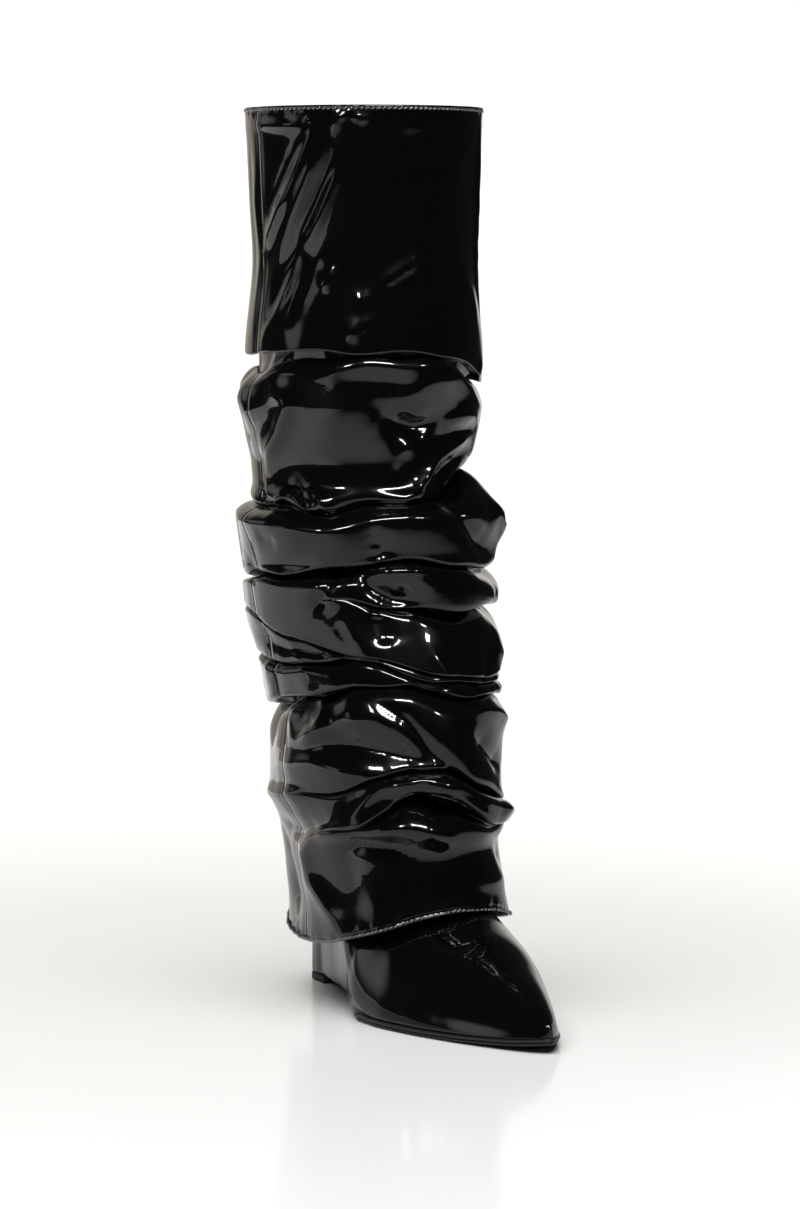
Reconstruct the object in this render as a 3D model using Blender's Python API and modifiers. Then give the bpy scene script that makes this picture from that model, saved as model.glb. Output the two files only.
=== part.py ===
"""Slouch wedge boot, right foot: outsole, heel lift, wedge, insole, upper and scrunched outer shaft.

Metres, +Z up. The origin is on the floor under the heel lift, the toe points along -Y and the
inner (medial) side of the foot is +X. "Forward" is the distance from the back of the heel
towards the toe.
"""

import bmesh
import bpy
import numpy as np

# Driving dimensions
BOOT_NAME = "slouch_wedge_boot"
BOOT_HEIGHT = 0.480
HEEL_BACK_Y = 0.020
FIT_GAP = 0.0003
MERGE_DISTANCE = 0.0001

# Walls and layers
UPPER_WALL = 0.0018
SHAFT_WALL = 0.0015
INSOLE_THICKNESS = 0.0025
INSOLE_INSET = 0.0028
INSOLE_END = 0.247

# Wedge, lift and outsole
WEDGE_FLOOR = 0.0045
WEDGE_END = 0.144
BALL_START = 0.147
LIFT_LENGTH = 0.028
OUTSOLE_START = 0.135
OUTSOLE_PROUD = 0.0008
OUTSOLE_RAND = 0.0016
OUTSOLE_STEP = 0.0009
TOE_TIP = 0.260

# How finely the curved pieces are divided. Every piece of the foot has its sections at the same
# stations forward from the heel, so that the facets of neighbours lie parallel.
STATIONS = np.array([
    0.0, 0.0015, 0.0045, 0.010, 0.018, 0.028, 0.039, 0.050, 0.0625, 0.075, 0.0875, 0.100, 0.1125, 0.125,
    0.135, 0.144, 0.150, 0.1625, 0.175, 0.1875, 0.200, 0.211, 0.222, 0.231, 0.240, 0.247, 0.253, 0.2575,
    0.2592, TOE_TIP])
ARC_POINTS = 13
SHAFT_POINTS = 32
RINGS_PER_FOLD = 2


def table(columns, rows):
    """A table as a dictionary from each column's name to its array of values."""
    return dict(zip(columns.split(), np.array(rows, float).T))


# Outline of the sole, seen from above
SOLE = table("forward centre half_width", [
    (0.0000, 0.0080, 0.0000),
    (0.0020, 0.0080, 0.0098),
    (0.0080, 0.0080, 0.0178),
    (0.0250, 0.0078, 0.0252),
    (0.0500, 0.0055, 0.0276),
    (0.0800, 0.0005, 0.0285),
    (0.1050, -0.0025, 0.0345),
    (0.1300, -0.0022, 0.0420),
    (0.1550, -0.0003, 0.0437),
    (0.1800, 0.0013, 0.0398),
    (0.2050, 0.0020, 0.0320),
    (0.2300, 0.0022, 0.0212),
    (0.2480, 0.0024, 0.0116),
    (0.2575, 0.0025, 0.0040),
    (0.2592, 0.0025, 0.0024),
    (TOE_TIP, 0.0025, 0.0000),
])

# Height of the line where upper and sole meet: heel seat, arch, ball and toe spring
FEATHER = table("forward height", [
    (0.000, 0.0850),
    (0.030, 0.0820),
    (0.050, 0.0720),
    (0.090, 0.0450),
    (0.115, 0.0220),
    (0.135, 0.0080),
    (0.150, 0.0042),
    (0.180, 0.0042),
    (0.210, 0.0046),
    (0.240, 0.0060),
    (TOE_TIP, 0.0080),
])

# How far the wedge's foot lies inside the sole's outline: its sides lean in, its back is square
WEDGE_FOOT = table("forward inset", [
    (0.0000, 0.0055),
    (0.0015, 0.0040),
    (0.0045, 0.0020),
    (0.0100, 0.0012),
    (0.0180, 0.0035),
    (0.0280, 0.0058),
    (0.0500, 0.0058),
    (0.1000, 0.0030),
    (0.1350, 0.0003),
    (TOE_TIP, 0.0000),
])

# Underside of the outsole: flat under the ball, rising to the toe
TREAD = table("forward height", [
    (0.128, 0.0000),
    (0.185, 0.0000),
    (0.210, 0.0005),
    (0.240, 0.0020),
    (TOE_TIP, 0.0040),
])

# The foot's sections: each is a plane from the feather line, at forward, up to the ridge, which
# lies ridge_side towards the inner side. half_width counts where it is over the sole's own.
FOOT = table("forward ridge_forward ridge_height ridge_side half_width", [
    (0.0000, 0.0985, 0.1580, -0.0030, 0.0360),
    (0.0035, 0.0985, 0.1525, -0.0030, 0.0355),
    (0.0100, 0.0985, 0.1470, -0.0030, 0.0352),
    (0.0280, 0.0995, 0.1350, -0.0025, 0.0348),
    (0.0500, 0.1020, 0.1210, 0.0000, 0.0350),
    (0.0750, 0.1065, 0.1060, 0.0030, 0.0360),
    (0.1000, 0.1150, 0.0920, 0.0060, 0.0380),
    (0.1250, 0.1290, 0.0785, 0.0070, 0.0395),
    (0.1500, 0.1480, 0.0655, 0.0075, 0.0400),
    (0.1750, 0.1690, 0.0548, 0.0075, 0.0380),
    (0.2000, 0.1920, 0.0470, 0.0065, 0.0300),
    (0.2200, 0.2120, 0.0385, 0.0045, 0.0200),
    (0.2360, 0.2295, 0.0310, 0.0030, 0.0100),
    (0.2480, 0.2440, 0.0240, 0.0015, 0.0050),
    (0.2555, 0.2535, 0.0187, 0.0005, 0.0020),
    (0.2590, 0.2586, 0.0150, 0.0000, 0.0010),
    (TOE_TIP, TOE_TIP, 0.0130, 0.0000, 0.0000),
])

# Sections of the inner leg, from the ankle up to just under the collar band
LEG = table("back_forward back_height front_forward front_height side half_width", [
    (-0.0030, 0.1100, 0.0990, 0.1720, 0.0050, 0.0370),
    (0.0025, 0.1400, 0.1000, 0.1900, 0.0040, 0.0385),
    (0.0080, 0.1750, 0.1015, 0.2100, 0.0025, 0.0410),
    (0.0080, 0.2150, 0.1035, 0.2350, 0.0015, 0.0440),
    (0.0065, 0.2600, 0.1050, 0.2680, 0.0005, 0.0465),
    (0.0050, 0.3100, 0.1065, 0.3120, 0.0000, 0.0485),
    (0.0030, 0.3600, 0.1080, 0.3610, 0.0000, 0.0505),
    (0.0010, 0.4100, 0.1100, 0.4105, 0.0000, 0.0520),
    (-0.0040, 0.4550, 0.1145, 0.4555, 0.0000, 0.0580),
])
COLLAR_BAND = 0.010

# The slouched outer shaft from the collar down: necks, bellies and overhanging lips of its folds.
# lean raises a ring's front, roll its inner side, dip its front and back; taper widens its front,
# and swing moves its back towards the inner side, over the heel.
SHAFT = table("height half_width half_depth forward side lean roll dip taper swing", [
    (0.4800, 0.0635, 0.0655, 0.0555, 0.0000, 0.0000, 0.0000, 0.0000, 0.00, 0.0000),
    (0.4270, 0.0613, 0.0630, 0.0555, 0.0000, 0.0000, 0.0000, 0.0000, 0.00, 0.0000),
    (0.4000, 0.0600, 0.0615, 0.0555, 0.0000, 0.0000, 0.0000, 0.0000, 0.00, 0.0000),
    (0.3460, 0.0642, 0.0655, 0.0555, 0.0000, 0.0000, -0.0020, 0.0000, 0.00, 0.0000),
    (0.3425, 0.0570, 0.0590, 0.0545, -0.0003, 0.0000, -0.0020, 0.0000, 0.00, 0.0000),
    (0.3300, 0.0625, 0.0640, 0.0535, -0.0004, 0.0000, -0.0015, 0.0000, 0.00, 0.0000),
    (0.3080, 0.0637, 0.0650, 0.0530, -0.0005, 0.0000, 0.0000, 0.0000, 0.00, 0.0000),
    (0.2780, 0.0580, 0.0600, 0.0545, -0.0014, 0.0010, 0.0050, 0.0000, 0.00, 0.0000),
    (0.2720, 0.0542, 0.0575, 0.0570, 0.0003, 0.0010, 0.0055, 0.0000, 0.00, 0.0000),
    (0.2600, 0.0690, 0.0690, 0.0600, 0.0000, 0.0010, 0.0030, 0.0000, 0.00, 0.0000),
    (0.2470, 0.0697, 0.0695, 0.0605, 0.0000, 0.0010, 0.0010, 0.0000, 0.00, 0.0000),
    (0.2370, 0.0614, 0.0640, 0.0615, -0.0005, -0.0010, -0.0020, 0.0000, 0.00, 0.0000),
    (0.2320, 0.0558, 0.0610, 0.0620, -0.0003, -0.0020, -0.0040, 0.0000, 0.00, 0.0000),
    (0.2170, 0.0675, 0.0685, 0.0635, -0.0008, -0.0020, -0.0050, 0.0000, 0.00, 0.0000),
    (0.2000, 0.0672, 0.0690, 0.0645, -0.0005, -0.0020, -0.0045, 0.0000, 0.00, 0.0000),
    (0.1890, 0.0628, 0.0680, 0.0665, 0.0005, -0.0010, -0.0030, 0.0000, 0.00, 0.0000),
    (0.1840, 0.0590, 0.0670, 0.0690, 0.0010, 0.0000, -0.0020, 0.0000, 0.00, 0.0000),
    (0.1735, 0.0600, 0.0710, 0.0730, 0.0010, 0.0000, 0.0000, 0.0000, 0.00, 0.0000),
    (0.1640, 0.0570, 0.0715, 0.0745, 0.0015, 0.0000, 0.0010, 0.0000, 0.00, 0.0010),
    (0.1575, 0.0515, 0.0775, 0.0780, 0.0030, 0.0000, 0.0020, 0.0000, 0.00, 0.0020),
    (0.1430, 0.0570, 0.0780, 0.0765, 0.0005, 0.0000, 0.0020, 0.0000, 0.00, 0.0030),
    (0.1290, 0.0580, 0.0800, 0.0755, 0.0000, 0.0000, 0.0020, 0.0000, 0.00, 0.0040),
    (0.1140, 0.0545, 0.0825, 0.0765, -0.0025, 0.0000, 0.0020, 0.0000, 0.00, 0.0060),
    (0.1080, 0.0535, 0.0835, 0.0770, -0.0045, 0.0010, 0.0020, 0.0000, 0.00, 0.0070),
    (0.0990, 0.0580, 0.0885, 0.0805, -0.0020, 0.0020, 0.0010, 0.0010, 0.00, 0.0080),
    (0.0920, 0.0560, 0.0885, 0.0800, -0.0015, 0.0020, 0.0010, 0.0020, 0.02, 0.0080),
    (0.0750, 0.0505, 0.0805, 0.0730, -0.0010, 0.0020, 0.0010, 0.0030, 0.06, 0.0080),
    (0.0457, 0.0530, 0.0875, 0.0810, 0.0010, 0.0050, 0.0032, 0.0078, 0.10, 0.0080),
])

# Local bulges (+) and hollows (-) of the shaft; angle 0 is the front and +90 the inner side
BULGES = table("angle height angle_spread height_spread push", [
    (62, 0.258, 28, 0.010, 0.0040),
    (62, 0.229, 30, 0.007, 0.0060),
    (62, 0.2115, 30, 0.005, -0.0050),
    (62, 0.184, 35, 0.010, 0.0040),
    (-118, 0.206, 40, 0.014, 0.0020),
    (-60, 0.150, 30, 0.010, 0.0030),
    (-10, 0.140, 25, 0.010, -0.0035),
])


def along(rows, column, at, by="forward"):
    """Monotone cubic through one column of a table, so that no curve overshoots between rows."""
    known, values = rows[by], rows[column]
    step = np.diff(known)
    slope = np.diff(values) / step
    tangent = np.concatenate([slope[:1], np.zeros(len(step) - 1), slope[-1:]])
    same_way = slope[:-1] * slope[1:] > 0
    before, after = slope[:-1][same_way], slope[1:][same_way]
    tangent[1:-1][same_way] = 2 * before * after / (before + after)
    row = np.clip(np.searchsorted(known, at, side="right") - 1, 0, len(step) - 1)
    t = (at - known[row]) / step[row]
    length = step[row]
    start = values[row] * (1 + 2 * t) * (1 - t) ** 2 + tangent[row] * length * t * (1 - t) ** 2
    end = values[row + 1] * t * t * (3 - 2 * t) + tangent[row + 1] * length * t * t * (t - 1)
    return start + end


def placed(side, forward, height):
    """Points in the boot's frame from distances sideways, forward and up."""
    side, forward, height = np.broadcast_arrays(side, forward, height)
    return np.stack([side, HEEL_BACK_Y - forward, height], axis=-1)


def feather(forward):
    """Height of the line where upper and sole meet, straight between stations."""
    return np.interp(forward, STATIONS, along(FEATHER, "height", STATIONS))


def surface_mesh(name, points, faces):
    """A mesh from points and faces, with coincident points made one."""
    mesh = bpy.data.meshes.new(name)
    mesh.from_pydata(points.tolist(), [], faces)
    work = bmesh.new()
    work.from_mesh(mesh)
    bmesh.ops.remove_doubles(work, verts=work.verts[:], dist=MERGE_DISTANCE)
    work.to_mesh(mesh)
    work.free()
    mesh.shade_smooth()
    return mesh


def grid_faces(rows, columns, closed):
    """Four-sided faces between neighbouring rows of points, closed round each row or open."""
    last = columns if closed else columns - 1
    return [
        (i * columns + j, i * columns + (j + 1) % columns,
         (i + 1) * columns + (j + 1) % columns, (i + 1) * columns + j)
        for i in range(rows - 1)
        for j in range(last)
    ]


def add_part(name, mesh, material, collection):
    part = bpy.data.objects.new(name, mesh)
    mesh.materials.append(material)
    collection.objects.link(part)
    return part


def add_wall(part, thickness):
    """Gives an open surface a wall, inwards from the surface."""
    wall = part.modifiers.new("wall", "SOLIDIFY")
    wall.thickness = thickness
    wall.offset = -1.0
    wall.use_quality_normals = True


def finish_material(name, colour, roughness):
    material = bpy.data.materials.new(name)
    material.use_nodes = True
    shader = material.node_tree.nodes["Principled BSDF"]
    shader.inputs["Base Color"].default_value = (*colour, 1.0)
    shader.inputs["Roughness"].default_value = roughness
    shader.inputs["Metallic"].default_value = 0.0
    return material


def outline_side(start, end, inset, hand):
    """One side of the sole's outline (hand -1 outer, +1 inner), moved inwards square to itself.
    inset is a distance, or an array of one for each station."""
    half = along(SOLE, "half_width", STATIONS)
    edge = along(SOLE, "centre", STATIONS) + hand * half
    slope = np.gradient(edge, STATIONS)
    slant = np.hypot(1.0, slope)
    in_side = -hand / slant
    in_forward = hand * slope / slant
    pointed = half <= 0
    in_side[pointed] = 0.0
    in_forward[pointed] = np.where(STATIONS[pointed] > 0, -1.0, 1.0)
    square_cut = ~pointed & np.isin(STATIONS, (start, end))
    in_side[square_cut] = -hand * slant[square_cut]
    in_forward[square_cut] = 0.0
    used = (STATIONS >= start) & (STATIONS <= end)
    return (edge + inset * in_side)[used], (STATIONS + inset * in_forward)[used]


def slab_mesh(name, start, end, levels):
    """A layer with the sole's outline between two stations. levels run from the top down, each
    an inset and a height that depends on the distance forward."""
    loops = []
    for inset, height in levels:
        outer, outer_forward = outline_side(start, end, inset, -1)
        inner, inner_forward = outline_side(start, end, inset, 1)
        outer_points = placed(outer, outer_forward, height(outer_forward))
        inner_points = placed(inner, inner_forward, height(inner_forward))
        loops.append(np.concatenate([outer_points, inner_points[::-1]]))
    count = len(loops[0])
    sides = [face[::-1] for face in grid_faces(len(levels), count, closed=True)]
    rungs = range(count // 2 - 1)
    top_faces = [(i, i + 1, count - 2 - i, count - 1 - i) for i in rungs]
    bottom = (len(levels) - 1) * count
    bottom_faces = [tuple(bottom + k for k in reversed(face)) for face in top_faces]
    return surface_mesh(name, np.concatenate(loops), sides + top_faces + bottom_faces)


def outsole_mesh():
    """Forefoot sole: a proud rand on top, a step in, and an underside with toe spring."""
    def top(forward):
        return np.where(forward < BALL_START, WEDGE_FLOOR, feather(forward)) - FIT_GAP

    def rand_foot(forward):
        return top(forward) - OUTSOLE_RAND

    def underside(forward):
        return along(TREAD, "height", np.clip(forward, OUTSOLE_START, TOE_TIP))

    levels = [
        (-OUTSOLE_PROUD, top),
        (-OUTSOLE_PROUD, rand_foot),
        (OUTSOLE_STEP - OUTSOLE_PROUD, rand_foot),
        (OUTSOLE_STEP, underside),
    ]
    return slab_mesh("outsole", OUTSOLE_START, TOE_TIP, levels)


def wedge_mesh():
    """The wrapped block between the heel seat, the arch and the floor."""
    levels = [
        (0.0, lambda forward: feather(forward) - FIT_GAP),
        (along(WEDGE_FOOT, "inset", STATIONS), lambda forward: np.full_like(forward, WEDGE_FLOOR)),
    ]
    return slab_mesh("wedge_heel", 0.0, WEDGE_END, levels)


def lift_mesh():
    """The top piece under the back of the wedge, straight across its front edge."""
    inset = along(WEDGE_FOOT, "inset", STATIONS)
    levels = [
        (inset, lambda forward: np.full_like(forward, WEDGE_FLOOR - FIT_GAP)),
        (inset, np.zeros_like),
    ]
    return slab_mesh("heel_lift", 0.0, LIFT_LENGTH, levels)


def insole_mesh():
    """The footbed, a thin layer on the wedge and outsole inside the upper."""
    levels = [
        (INSOLE_INSET, lambda forward: feather(forward) + INSOLE_THICKNESS),
        (INSOLE_INSET, feather),
    ]
    return slab_mesh("insole", 0.0, INSOLE_END, levels)


def section_arc(low, high, low_half_width, half_width, centre, ridge_side=0.0):
    """One section of the upper: a round arch from its outer foot over the ridge to its inner foot.

    low and high are (forward, height). The arch is widest at half_width, and narrows to
    low_half_width at its feet: nothing for a ring that closes at the back. Its ridge lies
    ridge_side from the centre."""
    widest = max(half_width, low_half_width)
    first = np.arcsin(low_half_width / widest) if widest > 0 else np.pi / 2
    turn = np.linspace(first, np.pi, ARC_POINTS)
    rise = (np.cos(first) - np.cos(turn)) / (np.cos(first) + 1)
    reach = widest * np.sin(turn)
    forward = low[0] + (high[0] - low[0]) * rise
    height = low[1] + (high[1] - low[1]) * rise
    middle = centre + ridge_side * rise ** 2
    outer = placed(middle - reach, forward, height)
    inner = placed(middle + reach, forward, height)
    return np.concatenate([outer, inner[-2::-1]])


def foot_sections():
    """From the toe back to the heel, one section at each station."""
    shape = {name: along(FOOT, name, STATIONS) for name in FOOT}
    base_half = along(SOLE, "half_width", STATIONS)
    centre = along(SOLE, "centre", STATIONS)
    for i in reversed(range(len(STATIONS))):
        low = (STATIONS[i], feather(STATIONS[i]))
        high = (shape["ridge_forward"][i], shape["ridge_height"][i])
        yield section_arc(
            low, high, base_half[i], shape["half_width"][i], centre[i], shape["ridge_side"][i])


def leg_sections():
    for back, back_height, front, front_height, side, half_width in zip(*LEG.values()):
        yield section_arc((back, back_height), (front, front_height), 0.0, half_width, side)


def collar_sections():
    """The band where the upper lies against the facets of the outer shaft's inside."""
    upwards = {name: values[::-1] for name, values in SHAFT.items()}
    for height in (BOOT_HEIGHT - COLLAR_BAND, BOOT_HEIGHT):
        depth, width, middle = (
            float(along(upwards, name, np.array([height]), by="height")[0])
            for name in ("half_depth", "half_width", "forward"))
        facet = depth * (1 - np.cos(np.pi / SHAFT_POINTS))
        inside = SHAFT_WALL + facet + FIT_GAP
        low, high = (middle - depth + inside, height), (middle + depth - inside, height)
        yield section_arc(low, high, 0.0, width - inside, 0.0)


def upper_mesh():
    sections = [*foot_sections(), *leg_sections(), *collar_sections()]
    faces = grid_faces(len(sections), len(sections[0]), closed=False)
    return surface_mesh("upper", np.concatenate(sections), faces)


def shaft_mesh():
    """Rings through the fold table, bottom to top, with the local bulges pushed out of them."""
    fold = np.arange(len(SHAFT["height"]), dtype=float)
    numbered = {**SHAFT, "fold": fold}
    at = np.linspace(fold[-1], 0, int(fold[-1]) * RINGS_PER_FOLD + 1)
    ring = {name: along(numbered, name, at, by="fold")[:, None] for name in SHAFT}
    angle = np.linspace(0, 2 * np.pi, SHAFT_POINTS, endpoint=False)[None, :]
    height = ring["height"] + ring["lean"] * np.cos(angle)
    height = height + ring["roll"] * np.sin(angle) + ring["dip"] * np.cos(2 * angle)
    push = np.zeros_like(height)
    for centre, level, angle_spread, height_spread, amount in zip(*BULGES.values()):
        turned = np.degrees(angle) - centre
        turned = (turned + 180) % 360 - 180
        push += amount * np.exp(-(turned / angle_spread) ** 2 - ((height - level) / height_spread) ** 2)
    wider = 1 + ring["taper"] * np.cos(angle)
    swung = ring["side"] + ring["swing"] * (1 - np.cos(angle)) / 2
    side = swung + (ring["half_width"] * wider + push) * np.sin(angle)
    forward = ring["forward"] + (ring["half_depth"] + push) * np.cos(angle)
    points = placed(side, forward, height).reshape(-1, 3)
    return surface_mesh("slouch_shaft", points, grid_faces(len(at), SHAFT_POINTS, closed=True))


def build():
    for old in list(bpy.data.objects):
        bpy.data.objects.remove(old)
    boot = bpy.data.collections.new(BOOT_NAME)
    bpy.context.scene.collection.children.link(boot)

    patent = finish_material("black_patent", (0.006, 0.006, 0.007), 0.10)
    shaft_patent = finish_material("slouch_patent", (0.006, 0.006, 0.007), 0.10)
    wedge_patent = finish_material("wedge_patent", (0.006, 0.006, 0.007), 0.12)
    sole_rubber = finish_material("sole_rubber", (0.012, 0.012, 0.013), 0.45)
    lift_rubber = finish_material("lift_rubber", (0.015, 0.015, 0.015), 0.55)
    footbed = finish_material("footbed", (0.030, 0.028, 0.026), 0.80)

    add_part("outsole", outsole_mesh(), sole_rubber, boot)
    add_part("heel_lift", lift_mesh(), lift_rubber, boot)
    add_part("wedge_heel", wedge_mesh(), wedge_patent, boot)
    add_part("insole", insole_mesh(), footbed, boot)
    add_wall(add_part("upper", upper_mesh(), patent, boot), UPPER_WALL)
    add_wall(add_part("slouch_shaft", shaft_mesh(), shaft_patent, boot), SHAFT_WALL)


build()
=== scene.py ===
# %% [markdown]
# A slouch wedge boot, dressed for its picture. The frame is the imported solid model: six nodes on
# one body. Each of them is replaced here by a finer surface of the same form, so the lesson is
# about surfaces as functions on grids, and about gloss: black patent shows its shape only through
# what it mirrors.

import math

import bmesh
import bpy
import numpy as np
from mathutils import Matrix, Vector


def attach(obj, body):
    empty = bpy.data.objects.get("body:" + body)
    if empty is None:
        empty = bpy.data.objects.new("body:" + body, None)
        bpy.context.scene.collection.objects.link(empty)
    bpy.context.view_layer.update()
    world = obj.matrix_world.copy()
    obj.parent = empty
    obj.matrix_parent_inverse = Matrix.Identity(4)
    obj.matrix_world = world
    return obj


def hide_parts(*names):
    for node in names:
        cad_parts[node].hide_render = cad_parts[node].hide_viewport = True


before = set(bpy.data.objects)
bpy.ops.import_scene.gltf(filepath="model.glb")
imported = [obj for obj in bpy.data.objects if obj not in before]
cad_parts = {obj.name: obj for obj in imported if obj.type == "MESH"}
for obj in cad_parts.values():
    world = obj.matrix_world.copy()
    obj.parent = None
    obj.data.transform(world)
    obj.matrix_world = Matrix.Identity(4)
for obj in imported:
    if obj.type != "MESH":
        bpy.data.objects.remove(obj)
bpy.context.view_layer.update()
scene = bpy.context.scene

# %% [markdown]
# All shapes come from short tables of sections, as a last maker writes them down: a few rows of
# real sizes, and a smooth curve through each column. A monotone cubic is the right curve here,
# because it never overshoots between two rows.

# %% Tables and the curve through them
HEEL_BACK_Y = 0.020
FIT_GAP = 0.0003
TOE_TIP = 0.260
MERGE = 0.00004


def table(columns, rows):
    """A dictionary from each column's name to the array of its values."""
    return dict(zip(columns.split(), np.array(rows, float).T))


def along(rows, column, at, by="forward"):
    """Monotone cubic through one column: at each row the slope is the harmonic mean of its two
    neighbouring slopes, or nothing at a peak, and Hermite's cubic joins the rows."""
    known, values = rows[by], rows[column]
    step = np.diff(known)
    slope = np.diff(values) / step
    tangent = np.concatenate([slope[:1], np.zeros(len(step) - 1), slope[-1:]])
    same_way = slope[:-1] * slope[1:] > 0
    before, after = slope[:-1][same_way], slope[1:][same_way]
    tangent[1:-1][same_way] = 2 * before * after / (before + after)
    row = np.clip(np.searchsorted(known, at, side="right") - 1, 0, len(step) - 1)
    length = step[row]
    t = (at - known[row]) / length
    start = values[row] * (1 + 2 * t) * (1 - t) ** 2 + tangent[row] * length * t * (1 - t) ** 2
    end = values[row + 1] * t * t * (3 - 2 * t) + tangent[row + 1] * length * t * t * (t - 1)
    return start + end


def placed(side, forward, height):
    """Points in the boot's frame from distances sideways, forward from the heel's back, and up."""
    side, forward, height = np.broadcast_arrays(side, forward, height)
    return np.stack([side, HEEL_BACK_Y - forward, height], axis=-1)


def grid_faces(rows, columns, closed):
    """Corner numbers of the four-sided faces between neighbouring rows of a grid of points."""
    i = np.arange(rows - 1)[:, None]
    j = np.arange(columns if closed else columns - 1)[None, :]
    k = (j + 1) % columns
    return np.stack([i * columns + j, i * columns + k,
                     (i + 1) * columns + k, (i + 1) * columns + j], axis=-1).reshape(-1, 4)


def mesh_of(name, points, faces, across=None, merge=0.0, fill=True):
    """A smooth-shaded mesh from arrays of points and four-cornered faces. across holds the place
    of each point on the flat material, in metres, for the UV map. Points closer than merge become
    one, and with fill the open ends that are left are closed."""
    mesh = bpy.data.meshes.new(name)
    count = len(faces)
    mesh.vertices.add(len(points))
    mesh.vertices.foreach_set("co", np.ascontiguousarray(points, np.float32).ravel())
    mesh.loops.add(4 * count)
    mesh.loops.foreach_set("vertex_index", faces.astype(np.int32).ravel())
    mesh.polygons.add(count)
    mesh.polygons.foreach_set("loop_start", np.arange(0, 4 * count, 4, dtype=np.int32))
    mesh.update(calc_edges=True)
    mesh.validate()
    if across is not None:
        layer = mesh.uv_layers.new(name="UVMap")
        layer.data.foreach_set("uv", across[faces.ravel()].astype(np.float32).ravel())
    if merge:
        work = bmesh.new()
        work.from_mesh(mesh)
        bmesh.ops.remove_doubles(work, verts=work.verts[:], dist=merge)
        if fill:
            bmesh.ops.dissolve_degenerate(work, dist=merge / 4, edges=work.edges[:])
            bmesh.ops.holes_fill(work, edges=work.edges[:], sides=0)
        bmesh.ops.recalc_face_normals(work, faces=work.faces[:])
        work.to_mesh(mesh)
        work.free()
    mesh.shade_smooth()
    return mesh


def add_piece(name, mesh, materials, node=None):
    """An object at the origin that rides on the boot's one body, and may stand for a CAD node."""
    piece = bpy.data.objects.new(name, mesh)
    scene.collection.objects.link(piece)
    for material in materials:
        mesh.materials.append(material)
    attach(piece, "root")
    if node:
        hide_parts(node)
    return piece


print("boot length along the floor", TOE_TIP)

# %% [markdown]
# The camera stands where the picture was taken from: level with the knee, a little to the outer
# side of the toe. It aims at the middle of the one boot, without lens shift.

# %% Camera
CAMERA_PLACE = Vector((-1.007, -2.050, 0.411))
CAMERA_AIM = Vector((0.017, -0.045, 0.212))
CAMERA_LENS = 123.8
SENSOR_HEIGHT = 36.0


def turned_to(aim, place):
    """The turn of a camera or a lamp at place that looks at aim."""
    return (aim - place).to_track_quat("-Z", "Y").to_euler()


def add_camera():
    """A camera with that lens at its place. The sensor's height sets the scale of the picture."""
    lens = bpy.data.cameras.new("camera")
    lens.lens = CAMERA_LENS
    lens.sensor_fit = "VERTICAL"
    lens.sensor_height = SENSOR_HEIGHT
    lens.sensor_width = SENSOR_HEIGHT
    camera = bpy.data.objects.new("camera", lens)
    camera.location = CAMERA_PLACE
    camera.rotation_euler = turned_to(CAMERA_AIM, CAMERA_PLACE)
    scene.collection.objects.link(camera)
    scene.camera = camera


add_camera()
print("camera at", tuple(CAMERA_PLACE), "aims at", tuple(CAMERA_AIM))

# %% [markdown]
# Patent needs a studio to mirror: floor, wall, glows and lamps. Their shaders and the boot's
# finishes are built from nodes. These could be clicked together in the node editor, but small
# helpers say the same in a line each, and every value can be read.

# %% Helpers for shaders
WHITE = (1, 1, 1, 1)
BLACK = (0, 0, 0, 1)
scene.view_settings.view_transform = "Standard"
scene.view_settings.look = "None"


def set_sockets(node, **values):
    """Constants on a node's sockets, by their names with _ for a space."""
    for name, value in values.items():
        node.inputs[name.replace("_", " ")].default_value = value


def node_of(tree, kind, **values):
    """A node of that kind, with constants on its sockets."""
    node = tree.nodes.new("ShaderNode" + kind)
    set_sockets(node, **values)
    return node


def measured(tree, operation, vector, other=(0, 0, 0)):
    """A number from a vector: its length, or its dot product with another."""
    node = node_of(tree, "VectorMath")
    node.operation = operation
    node.inputs[1].default_value = other
    tree.links.new(vector, node.inputs[0])
    return node.outputs["Value"]


def ramp(tree, value, ends, low=0.0, high=1.0, course="SMOOTHSTEP"):
    """Runs from low to high while value runs from one end to the other, and stays there outside."""
    node = node_of(tree, "MapRange", From_Min=ends[0], From_Max=ends[1], To_Min=low, To_Max=high)
    node.interpolation_type = course
    tree.links.new(value, node.inputs["Value"])
    return node.outputs["Result"]


def product(tree, first, second):
    """One number times another."""
    node = node_of(tree, "Math")
    node.operation = "MULTIPLY"
    tree.links.new(first, node.inputs[0])
    tree.links.new(second, node.inputs[1])
    return node.outputs["Value"]


def blend(tree, share, first, second):
    """A colour from first to second as share goes from 0 to 1. Each is a constant or an output."""
    node = node_of(tree, "Mix")
    node.data_type = "RGBA"
    tree.links.new(share, node.inputs["Factor"])
    for name, colour in (("A", first), ("B", second)):
        if isinstance(colour, bpy.types.NodeSocket):
            tree.links.new(colour, node.inputs[name])
        else:
            node.inputs[name].default_value = colour
    return node.outputs["Result"]


def new_finish(name, colour, **values):
    """A material, its node tree and its shader, which gets the colour and other constants."""
    material = bpy.data.materials.new(name)
    material.use_nodes = True
    shader = material.node_tree.nodes["Principled BSDF"]
    set_sockets(shader, Base_Color=(*colour[:3], 1), **values)
    return material, material.node_tree, shader


print("colours are shown as", scene.view_settings.view_transform)

# %% [markdown]
# A pale floor fills the undersides of the folds with grey, more on the boot's outer side. One
# large plane would do, but it would show its horizon and light the patent from all sides. So a
# disc fades to white for the camera and to black in the gloss, and a white ring lies round it.

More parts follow.
